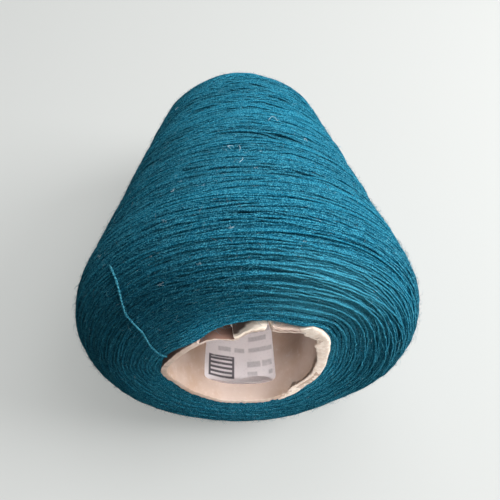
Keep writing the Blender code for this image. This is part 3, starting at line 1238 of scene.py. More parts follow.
@dataclass
class Package:
    """The wound yarn: a core darkened as painted shade, crossing strands, loose wraps, fuzz and caught
    lint.
    """

    cone: Cone
    outline: Outline
    half_width: float = 0.00045
    step_degrees: int = 2
    piece_triangles: int = 180000
    compaction: float = 0.985
    arch: float = 0.0085
    slip: float = 0.0007
    most_slip: float = 0.0004
    end_clearance: float = 0.0055
    seed: int = 11
    wraps: int = 130
    wrap_seed: int = 77
    fuzz_pieces: int = 3
    fuzz_hairs: int = 11800
    pale_hairs: int = 2600
    speck_hairs: int = 16
    strands: list[Strand] = field(default_factory=list)
    relief: ReliefMap = field(init=False)
    profile: Array = field(init=False)
    specks: tuple[tuple[float, float], ...] = (
        (45.0, 118), (72.0, 56), (21.0, 186), (97.5, 96), (36.0, 44), (87.0, 66), (79.5, 110),
        (123.0, 76), (55.5, 112), (120.0, 186), (96.0, 44), (43.5, 74), (117.0, 198), (52.5, 70),
        (31.5, 42), (37.5, 104), (79.5, -14), (81.0, 86), (75.0, 90), (70.5, 102), (73.5, 112),
        (48.0, 94), (57.0, 138), (127.5, 74), (94.5, 84), (81.0, 104), (138.0, -20),
        (34.5, 118), (34.7, 119))
    fibre_loops: tuple[tuple[float, float, float, float, float, float], ...] = (
        (125.0, 78, 100, 2.6, 6.5, 1.4), (97.5, 94, 20, 3.4, 5.0, 0.8),
        (99.0, 92, 200, 1.8, 4.5, 0.9), (112.5, 64, 60, 3.0, 3.5, 0.9),
        (88.5, 90, 250, 1.2, 5.0, 0.7), (150.0, 22, 100, 1.0, 9.0, 3.2),
        (146.0, 16, 70, 0.8, 7.0, 2.4), (164.0, 130, 100, 2.2, 3.5, 1.2),
        (60.0, 30, 210, 2.0, 4.0, 0.8))

    def families(self) -> list[Family]:
        """The ways the yarn was laid: the long crossing passes and the closer turns at both ends.

        Returns:
            One family for the passes, one for the mouth end and one for the nose end.
        """
        end = self.outline.length
        return [
            Family(0.026, end - 0.030, 0.0262, 90, 0.016, 0.00040),
            Family(0.0065, 0.062, 0.0036, 8, 0.010, 0.00022),
            Family(end - 0.050, end - 0.007, 0.0046, 6, 0.006, 0.00025),
        ]

    def one_pass(self, family: Family, index: int, rng: np.random.Generator) -> tuple[
            Array, Array]:
        """Angles and runs of one pass, sampled each degree.

        The run goes from one end of the family to the other at a steady advance, eased at both
        ends, and sways a little on the way.  Over the far half the turns gather into bunches
        and arch towards the nose on top.

        Args:
            family: The family of the pass.
            index: Its number, which picks its start and its sways.
            rng: Source of the scatter of its ends.

        Returns:
            Angles in radians and runs.
        """
        golden_share = 0.6180339887
        eased_samples = 40.0
        low = family.low + rng.uniform(-0.5, 0.5) * family.scatter
        high = family.high + rng.uniform(-0.5, 0.5) * family.scatter
        low = max(low, self.end_clearance)
        high = min(high, self.outline.length - self.end_clearance)
        turns = (high - low) / family.advance
        count = max(60, int(round(turns * 360.0)))
        start = FULL_TURN * ((index * golden_share + 0.013 * rng.uniform(-1, 1)) % 1.0)
        angle = start + np.radians(np.arange(count))
        share = np.linspace(0.0, 1.0, count)
        ease = min(0.2, eased_samples / count)
        pace = smooth_step(share, 0.0, ease) * smooth_step(share, 1.0, 1.0 - ease)
        share = np.concatenate([[0.0], np.cumsum((pace[1:] + pace[:-1]) / 2.0)])
        share /= share[-1]
        run = low + (high - low) * share
        if index % 2:
            run = run[::-1]
        far = smooth_step(run, 0.062, 0.120)
        sway = Ripple(1000 + index, (1, 6), (0.03, 0.12), 5).at(angle, run) * family.sway
        crimp = Ripple(2000 + index, (22, 58), (0.01, 0.04), 6).at(angle, run) * 0.00010
        near_bunch = Ripple(5, (1, 7), (0.0032, 0.0080), 10).at(angle, run)
        far_bunch = Ripple(6, (3, 13), (0.0055, 0.0140), 12).at(angle, run)
        near_bunch = near_bunch * (0.3 + 0.7 * bump(angle, 115.0, 60.0))
        end = self.outline.length
        calm = far * (0.25 + 0.75 * smooth_step(run, end - 0.012, end - 0.050))
        bunch = near_bunch * (1.0 - far) * 0.00011 + far_bunch * calm * 0.00074
        wave = Ripple(9, (3, 9), (0.02, 0.06), 8).at(angle, run) * calm * 0.0014
        arch = self.arch * np.sin(angle) * smooth_step(run, 0.070, 0.125) * smooth_step(
            run, end - 0.018, end - 0.055)
        return angle, run + sway * (1.0 + 1.6 * far) + crimp + bunch + wave + arch

    def wind(self) -> None:
        """Lays every pass on what is already there.

        A strand slides a little down the slope under it and lies on the smoothed height below;
        each pass presses the whole package down by the compaction.
        """
        relief = ReliefMap(self.outline)
        rng = np.random.default_rng(self.seed)
        order = []
        for number, family in enumerate(self.families()):
            spots = (np.arange(family.passes) + rng.uniform(0.2, 0.8)) / family.passes
            order += [(spot, number, index) for index, spot in enumerate(spots)]
        order.sort()
        laid = []
        families = self.families()
        for _, number, index in order:
            family = families[number]
            angle, run = self.one_pass(family, index + 100 * number, rng)
            slide = -relief.slope(angle, run) * self.slip
            run = run + blur(np.clip(slide, -self.most_slip, self.most_slip), 7)
            support = blur(relief.under(angle, run), 4)
            lift = 0.62 * support + 0.38 * float(support.mean()) + 0.00028
            lift = lift + Ripple(3000 + index, (20, 58), (0.01, 0.04), 5).at(
                angle, run) * 0.00006
            lift = lift - self.tucked(len(run), 0.0009, 24.0)
            relief.lay(angle, run, lift, self.half_width)
            laid.append([angle, run, lift, rng.uniform(0.0, 1.0), 1.0])
            relief.height *= self.compaction
            for entry in laid:
                entry[4] *= self.compaction
        self.profile = self.mean_profile(relief)
        LOG.info("laid %d passes, mean height %.2f mm", len(laid), 1000 * self.profile.mean())
        for angle, run, lift, tone, press in laid:
            top = lift * press + self.half_width * CROWN
            shown = relief.cover(angle, run) < top + RUN_PITCH
            picked = np.unique(np.append(np.arange(0, len(run), self.step_degrees),
                                         len(run) - 1))
            level = lift[picked] * press - self.buried(run[picked])
            whole = Strand(angle[picked], run[picked], level, tone, self.half_width)
            self.strands += whole.pieces(shown[picked])
        self.relief = relief

    @staticmethod
    def tucked(count: int, drop: float, samples: float) -> Array:
        """How far a strand's ends are tucked under: the drop at both ends, fading over some samples."""
        ends = np.minimum(np.arange(count), np.arange(count)[::-1])
        return drop * (1.0 - smooth_step(ends, 0.0, samples))

    @staticmethod
    def mean_profile(relief: ReliefMap) -> Array:
        """Mean height of the laid yarn along the outline, its bare ends filled from their edges.

        Args:
            relief: The laid yarn.

        Returns:
            One height for each step of the outline.
        """
        bare = 27
        profile = relief.height.mean(axis=0)
        profile[:bare] = profile[bare]
        profile[-bare:] = profile[-bare - 1]
        return blur(profile, 12)

    def buried(self, run: Array) -> Array:
        """How much every height is lowered at a run, so that the yarn's surface is the outline."""
        return 0.00010 + np.interp(run, self.outline.run, self.profile)

    def top(self, angle: Array, run: Array) -> Array:
        """Height of the yarn's surface at places on the package."""
        return self.relief.under(angle, run) - self.buried(run)

    def loose_wraps(self) -> list[Strand]:
        """Single strands that have slipped out of the winding, most of them towards the nose.

        Each has its middle run plus a lean times s and a bow times 1 - s^2, with s from -1 to 1
        along it, and ends tucked under the others.

        Returns:
            The strands.
        """
        rng = np.random.default_rng(self.wrap_seed)
        made = []
        for index in range(self.wraps):
            near_nose = index % 4 != 0
            span = rng.uniform(50.0, 260.0)
            middle = rng.uniform(0.0, 360.0) if index % 3 else rng.uniform(40.0, 140.0)
            run0 = rng.uniform(0.115, 0.192) if near_nose else rng.uniform(0.045, 0.12)
            count = int(span)
            angle = np.radians(middle - span / 2.0 + np.arange(count))
            share = np.linspace(-1.0, 1.0, count)
            lean = rng.uniform(-1.0, 1.0) * (0.019 if near_nose else 0.004)
            bow = rng.uniform(-0.4, 1.0) * (0.0065 if near_nose else 0.0016)
            run = run0 + lean * share + bow * (1.0 - share ** 2)
            run = run + Ripple(300 + index, (2, 7), (0.03, 0.1), 4).at(angle, run) * 0.0003
            run = np.clip(run, 0.010, self.outline.length - 0.010)
            lift = blur(self.top(angle, run), 5) + (0.00036 if near_nose else 0.00022)
            lift = lift - self.tucked(count, 0.0011, 16.0)
            picked = np.unique(np.append(np.arange(0, count, 3), count - 1))
            made.append(Strand(angle[picked], run[picked], lift[picked], rng.uniform(0.7, 2.0),
                               self.half_width * 0.95))
        return made

    def core(self) -> bpy.types.Object:
        """Closed surface just under the strands: the outline lowered by one strand, turned round,
        joined through the bore, with shallow waves like buried turns; its finish is darker than the
        strands, as painted shade between them.

        Returns:
            The core.
        """
        rounding = 0.008
        run = np.linspace(0.0, self.outline.length, 180)
        angle = np.linspace(0.0, FULL_TURN, 180, endpoint=False)
        rows = Ripple(31, (1, 2), (0.0020, 0.0031), 6).at(angle[:, None], run[None])
        lift = -0.0013 + 0.00018 * rows
        lift = lift * smooth_step(run, 0.0, rounding) * smooth_step(
            run, self.outline.length, self.outline.length - rounding)
        radius, depth = self.outline.at(run[None], lift)
        through = np.linspace(0.0, 1.0, 12)[1:-1]
        bore_radius = radius[:, -1:] + (radius[:, :1] - radius[:, -1:]) * through
        bore_depth = depth[:, -1:] + (depth[:, :1] - depth[:, -1:]) * through
        radius = np.hstack([radius, bore_radius])
        depth = np.hstack([depth, bore_depth])
        points = self.cone.place(radius, angle[:, None], depth, paper=False)
        return closed_sheet("yarn_core", points, True)

    def fuzz(self, name: str, count: int, seed: int, longest: float,
             thick: float) -> bpy.types.Object:
        """Hairs rooted all over the package, as many on each square millimetre everywhere.

        Args:
            name: The piece's name.
            count: Number of hairs.
            seed: Number that picks their places.
            longest: Length of the longest.
            thick: Radius at the root.

        Returns:
            The hairs as one object.
        """
        edge = 0.008
        widest = 0.073
        tries = 3 * count
        rng = np.random.default_rng(seed)
        run = rng.uniform(edge, self.outline.length - edge, tries)
        angle = rng.uniform(0.0, FULL_TURN, tries)
        share = np.interp(run, self.outline.run, self.outline.radius) / widest
        keep = rng.uniform(0.0, 1.0, tries) < share
        return self.hairs(name, run[keep][:count], angle[keep][:count], rng, longest, thick)

    def tufts(self, name: str, seed: int) -> bpy.types.Object:
        """Specks of lint: each is a tangle of short hairs rooted within half a millimetre.

        Args:
            name: The piece's name.
            seed: Number that picks the tangles.

        Returns:
            The specks as one object.
        """
        scatter, turn_scatter = 0.00022, 0.0050
        longest, thick = 0.0013, 0.00009
        rng = np.random.default_rng(seed)
        spots = np.repeat(np.array(self.specks), self.speck_hairs, axis=0)
        run = spots[:, 0] * MM + rng.normal(0.0, scatter, len(spots))
        angle = np.radians(spots[:, 1]) + rng.normal(0.0, turn_scatter, len(spots))
        return self.hairs(name, run, angle, rng, longest, thick)

    def hairs(self, name: str, run: Array, angle: Array, rng: np.random.Generator,
              longest: float, thick: float) -> bpy.types.Object:
        """Short hairs: each leaves the yarn, leans over and curls, and ends in a point.

        A hair follows root + out * l * rise * t * (1 - 0.45 t) + lean * l * (0.25 t + 0.75 t^2)
        + side * l * curl * t^3, with t from 0 to 1 and l its length.

        Args:
            name: The piece's name.
            run: Runs of the roots.
            angle: Angles of the roots.
            rng: Source of the shapes.
            longest: Length of the longest.
            thick: Radius at the root.

        Returns:
            The hairs as one object.
        """
        total = len(run)
        rooted = 0.0002
        lift = self.top(angle, run) - rooted
        radius, depth = self.outline.at(run, lift)
        root = self.cone.place(radius, angle, depth, paper=False)
        radius, depth = self.outline.at(run, lift + FRAME_HEIGHT)
        high = self.cone.place(radius, angle, depth, paper=False)
        out = unit(high - root + np.array([0.0, 0.0, 1e-9]))
        side = unit(np.cross(out, unit(rng.normal(size=(total, 3)))))
        length = longest * rng.uniform(0.25, 1.0, total)[:, None, None] ** 1.5
        rings = 2
        last = 3 * (rings - 1)
        tip = last + 3
        t = np.linspace(0.0, 1.0, rings + 1)[None, :, None]
        rise = rng.uniform(0.15, 1.10, total)[:, None, None]
        curl = rng.uniform(-0.6, 0.6, total)[:, None, None]
        other = np.cross(out, side)
        line = (root[:, None] + out[:, None] * length * rise * t * (1.0 - 0.45 * t)
                + side[:, None] * length * (0.25 * t + 0.75 * t * t)
                + other[:, None] * length * curl * t ** 3)
        line[..., 2] = np.maximum(line[..., 2], rooted)
        along = unit(np.gradient(line, axis=1))
        first = unit(np.cross(along, out[:, None] + 0.3 * other[:, None]))
        second = np.cross(along, first)
        ring = FULL_TURN * np.arange(3) / 3.0
        body = (line[:, :rings, None] + thick * (1.0 - 0.5 * t[:, :rings, None]) * (
            np.cos(ring)[None, None, :, None] * first[:, :rings, None]
            + np.sin(ring)[None, None, :, None] * second[:, :rings, None]))
        points = np.concatenate([body.reshape(total, tip, 3), line[:, rings:]], axis=1)
        one = grid_quads(rings, 3, False, True)
        tips = np.array([[last, last + 1, tip], [last + 1, last + 2, tip],
                         [last + 2, last, tip], [2, 1, 0]])
        first_point = (tip + 1) * np.arange(total)[:, None, None]
        quads = (one[None] + first_point).reshape(-1, 4)
        caps = (tips[None] + first_point).reshape(-1, 3)
        if signed_volume(points[0], one) < 0.0:
            quads = quads[:, ::-1]
        edges = points[0, [last + 1, tip, last]] - points[0, [last, last, last + 2]]
        if np.linalg.det(edges) > 0.0:
            caps = caps[:, ::-1]
        spot = self.outline.bake_spot(angle, run)
        corner = np.array([[0.0, 0.0], [0.001, 0.0], [0.001, 0.001], [0.0, 0.001]])
        quad_uv = np.repeat(spot, 4 * len(one), axis=0) + np.tile(corner, (len(quads), 1))
        cap_uv = np.repeat(spot, 3 * len(tips), axis=0) + np.tile(corner[:3], (len(caps), 1))
        bake = np.vstack([quad_uv, cap_uv])
        tone = np.repeat(rng.uniform(0.3, 1.3, total), tip + 1)
        return mesh_object(name, points.reshape(-1, 3), quads, caps,
                           {"OFBake": bake, "Yarn": np.zeros_like(bake)}, {"tone": tone})

    def curls(self) -> list[Strand]:
        """Single fibres that stand off the yarn in small loops.

        Each turns steadily as it goes, x = s * sin(k t) / k and y = s * (1 - cos(k t)) / k with s
        its length, and rises and falls by a sine.

        Returns:
            The fibres.
        """
        tone, half_width = 1.3, 0.00010
        made = []
        for run0, degrees, heading, bend, length, height in self.fibre_loops:
            t = np.linspace(0.0, 1.0, 26)
            size = length * MM / bend
            x, y = size * np.sin(bend * t), size * (1.0 - np.cos(bend * t))
            turned = math.radians(heading)
            radius = float(np.interp(run0 * MM, self.outline.run, self.outline.radius))
            angle = math.radians(degrees) + (x * math.cos(turned) - y * math.sin(turned)) / radius
            run = run0 * MM + x * math.sin(turned) + y * math.cos(turned)
            lift = blur(self.top(angle, run), 3) + height * MM * np.sin(math.pi * t ** 0.8)
            made.append(Strand(angle, run, lift, tone, half_width))
        return made

    def build(self, finish: YarnFinish, shaded_core_finish: YarnFinish, fuzz_finish: YarnFinish,
              pale_finish: LintFinish, lint_finish: LintFinish) -> None:
        """Winds the yarn and makes its pieces.

        Args:
            finish: Finish of the strands.
            shaded_core_finish: Finish of the core, seen between them, darker as painted shade.
            fuzz_finish: Finish of the fine hairs.
            pale_finish: Finish of the paler hairs.
            lint_finish: Finish of the specks and loops.
        """
        slot = "yarn_package"
        self.wind()
        yarn = finish.make()
        dress(self.core(), shaded_core_finish.make(), slot, "yarn_package")
        collector = StrandMesh(self.cone, self.outline)
        number = 1
        for strand in self.strands:
            collector.add(strand)
            if collector.triangles > self.piece_triangles:
                dress(collector.build(f"yarn_windings_{number}"), yarn, slot)
                collector = StrandMesh(self.cone, self.outline)
                number += 1
        if collector.points:
            dress(collector.build(f"yarn_windings_{number}"), yarn, slot)
        dress(self.gathered("yarn_loose_wraps", self.loose_wraps()), yarn, slot)
        haze = fuzz_finish.make()
        for part in range(self.fuzz_pieces):
            dress(self.fuzz(f"yarn_fuzz_{part + 1}", self.fuzz_hairs, 3 + part, 0.0046,
                            0.000045), haze, slot)
        lint = lint_finish.make()
        dress(self.fuzz("pale_fibres", self.pale_hairs, 8, 0.0034, 0.000050),
              pale_finish.make(), slot)
        dress(self.tufts("lint_specks", 12), lint, slot)
        dress(self.gathered("fibre_loops", self.curls()), lint, slot)

    def gathered(self, name: str, strands: list[Strand]) -> bpy.types.Object:
        """Makes one object of some strands.

        Args:
            name: The piece's name.
            strands: The strands.

        Returns:
            The object.
        """
        collector = StrandMesh(self.cone, self.outline)
        for strand in strands:
            collector.add(strand)
        return collector.build(name)


# ---- paper
@dataclass(frozen=True)
class Ply:
    """One wall of the paper cone."""

    name: str
    slot: str
    inset: float
    wall: float
    seed: int
    missing: float = 0.0
    opening: float = 0.0
    outer_flush: float = 0.0
    inner_flush: float = 0.0


@dataclass
class PaperCone:
    """The paper cone with its worn mouth: two plies, a torn tongue and the label."""

    cone: Cone
    around: int = 720
    down: int = 30
    strip_left: float = 127.8
    label_width: float = 0.0375
    label_length: float = 0.045
    label_depth: float = 0.0060
    label_angle: float = -101.0

    @property
    def board(self) -> Ply:
        """The outer plies; a strip of them is torn away at the upper left of the mouth."""
        return Ply("board_wall", "cone_board", 0.0, self.cone.sizes.board_wall, 101,
                   missing=0.0085, inner_flush=0.00014)

    @property
    def liner(self) -> Ply:
        """The inner ply, which stands off the board at the upper right of the mouth.

        Returns:
            The ply; it takes up the clearance between the plies but for a hair's breadth.
        """
        sizes = self.cone.sizes
        clear = 0.00002
        return Ply("liner_wall", "cone_liner", sizes.board_wall + clear,
                   sizes.liner_wall + sizes.fit_gap - clear, 202, opening=0.0006,
                   outer_flush=0.00014)

    def front(self, ply: Ply, angle: Array) -> Array:
        """Depth of a ply's mouth edge: fine wear, the slit at the top and the torn-away strip.

        The wear is a sum of ripples that both plies share but for a little of their own.

        Args:
            ply: The ply.
            angle: Angles in radians.

        Returns:
            One depth for each angle.
        """
        still = np.zeros_like(angle)
        fine = (0.8 * Ripple(101, (20, 90), (1.0, 2.0), 12).at(angle, still)
                + 0.3 * Ripple(ply.seed, (20, 90), (1.0, 2.0), 12).at(angle, still))
        slow = Ripple(102, (2, 9), (1.0, 2.0), 6).at(angle, still)
        degrees = np.degrees(angle) % 360.0
        ragged = 0.5 * Ripple(ply.seed + 2, (30, 80), (1.0, 2.0), 8).at(angle, still)
        strip = smooth_step(degrees + ragged, 128.5, 127.0) * smooth_step(
            degrees + ragged, 103.0, 105.5)
        slit = 0.0050 * bump(angle, 77.0, 1.4)
        return (-self.cone.sizes.mouth_proud + 0.00009 * fine + 0.00016 * slow
                + slit + ply.missing * strip * (1.0 + 0.06 * fine))

    def inner_radius(self, ply: Ply, angle: Array, depth: Array) -> Array:
        """Radius of a ply's inner side on the unknocked cone."""
        return self.outer_radius(ply, angle, depth) - ply.wall

    def outer_radius(self, ply: Ply, angle: Array, depth: Array) -> Array:
        """Radius of a ply's outer side on the unknocked cone, with shallow wrinkles.

        An opened ply stands off by its opening, fading over five millimetres of depth.

        Args:
            ply: The ply.
            angle: Angles in radians.
            depth: Depths from the front face.

        Returns:
            One radius for each place.
        """
        wrinkle = Ripple(7, (3, 11), (0.02, 0.07), 8).at(angle, depth) * 0.00014
        off = ply.opening * (bump(angle, 66.0, 10.0) + 0.5 * bump(angle, -45.0, 20.0)) * np.exp(
            -((np.maximum(depth, 0.0) / 0.005) ** 2))
        return self.cone.sizes.paper_radius(depth) - ply.inset + wrinkle - off

    def wall(self, ply: Ply) -> bpy.types.Object:
        """One ply as a closed surface: outer side, mouth edge, inner side and nose edge.

        The rows crowd towards the mouth as the power 2.4 of their share of the length, and the
        edges stand a little proud between the two sides.

        Args:
            ply: The ply.

        Returns:
            The wall.
        """
        sizes = self.cone.sizes
        rim, middle = 0.06 * MM, 0.14 * MM
        angle = np.linspace(0.0, FULL_TURN, self.around, endpoint=False)[:, None]
        front = self.front(ply, angle)
        back = sizes.length - sizes.mouth_proud
        share = np.linspace(0.0, 1.0, self.down)[None] ** 2.4
        sides = (back - front) * share
        edge = np.array([0.01 if ply.outer_flush else 0.10, 0.30, 0.70,
                         0.99 if ply.inner_flush else 0.90])[None]
        proud = np.array([max(rim, ply.outer_flush), middle, middle,
                          max(rim, ply.inner_flush)])[None]
        inward = np.hstack([0.0 * sides, edge + 0.0 * angle, 0.0 * sides + 1.0,
                            edge[:, ::-1] + 0.0 * angle])
        lead = 1.0 - share
        depth = np.hstack([(front + sides - ply.outer_flush * lead)[:, ::-1], front - proud,
                           front + sides - ply.inner_flush * lead, back + proud + 0.0 * angle])
        radius = self.outer_radius(ply, angle, depth) - inward * ply.wall
        return closed_sheet(ply.name, self.cone.place(radius, angle, depth, paper=True), True,
                            values=self.wear(ply, angle, depth, inward, front))

    def wear(self, ply: Ply, angle: Array, depth: Array, inward: Array,
             front: Array) -> dict[str, Array]:
        """Shares of brown, partly painted shade; of bared fibre, partly painted light; and of painted
        shade over a ply.

        Args:
            ply: The ply.
            angle: Angles in radians, one for each column.
            depth: Depths from the front face.
            inward: 0 on the outer side to 1 on the inner side.
            front: Depths of the mouth edge.

        Returns:
            The three shares by name.
        """
        degrees = np.degrees(angle) % 360.0
        behind = depth - front
        outer = 1.0 - smooth_step(inward, 0.0, 0.005)
        # Brown outer side, partly painted shade of the yarn's lip near the mouth.
        brown = np.maximum(self.browned(ply, angle), smooth_step(depth, 0.012, 0.020))
        step = smooth_step(np.abs(degrees - self.strip_left), 2.4, 1.4)
        side = step * (depth > front.min() + 0.0022) * (ply.missing > 0.0)
        # Bared fibre on the torn strip, partly painted light where the yarn shades it.
        bare_depth = np.interp(degrees, [84.0, 92.0, 98.0, 104.0], [4.0, 2.4, 1.2, 0.7]) * MM
        bared = smooth_step(degrees, 74.0, 77.0) * smooth_step(degrees, 107.0, 104.0)
        bared = bared * smooth_step(behind, bare_depth + 0.0004, bare_depth)
        fading = smooth_step(depth, 0.060, 0.030)
        # Painted shade in the hollow between the torn strip and the yarn.
        void_shade = np.where(ply.missing > 0.0, smooth_step(behind, bare_depth, bare_depth + 0.0005)
                       * smooth_step(degrees, 84.0, 92.0) * smooth_step(degrees, 110.0, 106.0)
                       * fading, 0.0)
        # Painted shade under the yarn's lip on the brown outer side.
        shade = 0.20 + 0.80 * bump(angle, 105.0, 8.0)
        shade_under_yarn = brown * shade * smooth_step(depth, -0.0012, 0.0022) * fading
        # Painted shade on the deeper part of the right inner wall.
        within = (inward > 0.95) * bump(angle, -32.0, 30.0) * smooth_step(
            depth, 0.007, 0.019) * smooth_step(depth, 0.090, 0.040)
        return {"outside": np.maximum(brown * outer, side * brown),
                "torn": bared * (1.0 - brown),
                "painted_shade": np.maximum(0.60 * within, outer * np.maximum(shade_under_yarn, void_shade))}

    def browned(self, ply: Ply, angle: Array) -> Array:
        """Share of brown on a ply's outer side, partly painted shade of the yarn's lip: the board keeps
        its pale face right of the strip.

        Args:
            ply: The ply.
            angle: Angles in radians.

        Returns:
            One share for each angle.
        """
        degrees = np.degrees(angle) % 360.0
        left = smooth_step(degrees, 104.0, 112.0) * smooth_step(degrees, 220.0, 200.0)
        return left if ply.missing else np.ones_like(angle)

    def torn_tongue(self) -> bpy.types.Object:
        """The torn, opened-out ply on the right: a broad ragged band along the mouth's edge.

        Its section is a slab, wide at the mouth and narrow behind: the ring (cos t, sin t) over
        its norm of power 5.  Two tables give how far its front reaches in from the board and out
        over the yarn by angle.  Its inner edge is jagged at the top, and three sizes of lumps
        roughen it.

        Returns:
            The tongue.
        """
        square = 5
        sizes = self.cone.sizes
        degrees = np.linspace(-66.0, 58.5, 300)[:, None]
        angle = np.radians(degrees)
        wide = np.interp(degrees, [-66, -59, -51, -43, -29, -20, -11, -2, 9, 21, 28, 33, 36, 39,
                                   44, 47, 52, 57, 58.5],
                         [0.4, 1.6, 3.4, 4.7, 4.0, 4.0, 3.7, 4.4, 4.3, 5.3, 5.7, 6.1, 4.6, 4.3,
                          4.9, 5.2, 3.9, 1.3, 0.4]) * MM
        over = np.interp(degrees, [7, 16, 28, 34, 42, 47, 53, 57, 58.5],
                         [0.1, 0.2, 0.9, 1.9, 1.8, 2.6, 3.6, 1.5, 0.2]) * MM
        still = np.zeros_like(angle)
        jag = Ripple(91, (40, 110), (1.0, 2.0), 10).at(angle, still)
        wide = wide * (1.0 + 0.08 * jag * smooth_step(degrees, 24.0, 38.0) + 0.02 * jag)
        long = np.interp(degrees, [-66, -50, -10, 20, 45, 58.5],
                         [0.8, 3.0, 4.0, 6.0, 5.0, 0.8]) * MM
        turn = np.linspace(0.0, FULL_TURN, 40, endpoint=False)[None]
        size = (np.abs(np.cos(turn)) ** square + np.abs(np.sin(turn)) ** square) ** (-1.0 / square)
        inward = 0.5 + 0.5 * size * np.cos(turn)
        deeper = 0.5 + 0.5 * size * np.sin(turn)
        thin = 1.0 - 0.60 * deeper
        reach = (over * (1.0 - inward) - inward * wide) * thin
        radius = sizes.paper_radius(0.0) + sizes.fit_gap + reach
        depth = -sizes.mouth_proud - 0.0005 + deeper * long + 0.0008 * inward ** 2
        points = self.cone.place(radius, angle, depth, paper=True)
        flat = points.reshape(-1, 3)
        rough = (0.00030 * lattice_noise(flat, 0.0060, 6) + 0.00015 * lattice_noise(
            flat, 0.0026, 4) + 0.00006 * lattice_noise(flat, 0.0010, 5))
        away = unit(points - points.mean(axis=1, keepdims=True)).reshape(-1, 3)
        return closed_sheet("torn_board", (flat + away * rough[:, None]).reshape(points.shape),
                            False)

    def label(self) -> bpy.types.Object:
        """The label: a thin sheet on the inner wall with round corners.

        Across runs round the wall and along runs into the cone; the corners are cut by moving the
        sheet's sides in near its ends: corner - sqrt(corner^2 - short^2), where short is how far
        inside the corner's centre a row lies.

        Returns:
            The label.
        """
        columns, rows = 80, 90
        corner = 0.0020
        sheet = 0.00014
        glue, curled = 0.00010, 0.00030
        middle_depth = 0.028
        across = np.linspace(-1.0, 1.0, columns)[None]
        along = np.linspace(0.0, 1.0, rows)[:, None]
        short = np.clip(corner - np.minimum(along, 1.0 - along) * self.label_length, 0.0, corner)
        half = self.label_width / 2.0 - (corner - np.sqrt(corner ** 2 - short ** 2))
        depth = self.label_depth + along * self.label_length + 0.0 * across
        middle = self.inner_radius(self.liner, np.zeros(1), np.full(1, middle_depth))[0]
        angle = math.radians(self.label_angle) + half / middle * across
        lift = glue + curled * np.abs(across) ** 10 * np.exp(-((along / 0.10) ** 2))
        wall = self.inner_radius(self.liner, angle, depth) - lift
        print_map = np.stack([(across + 1.0) / 2.0 + 0.0 * along, along + 0.0 * across], axis=-1)
        under = self.cone.place(wall, angle, depth, True)
        top = self.cone.place(wall - sheet, angle, depth, True)
        return closed_sheet("label_sheet", np.concatenate([top, under[:, ::-1]], axis=1), False,
                            {"Print": np.concatenate([print_map, print_map[:, ::-1]], axis=1)})

    def build(self, board: PaperFinish, liner: PaperFinish, pulp: PulpFinish,
              label: LabelFinish) -> None:
        """Makes the paper pieces.

        Args:
            board: Finish of the outer plies.
            liner: Finish of the inner ply.
            pulp: Finish of the torn tongue.
            label: Finish of the label.
        """
        for ply, finish in ((self.board, board), (self.liner, liner)):
            dress(self.wall(ply), finish.make(), ply.slot, ply.slot)
        dress(self.torn_tongue(), pulp.make(), "torn_ply", "torn_ply")
        dress(self.label(), label.make(), "label", "label")


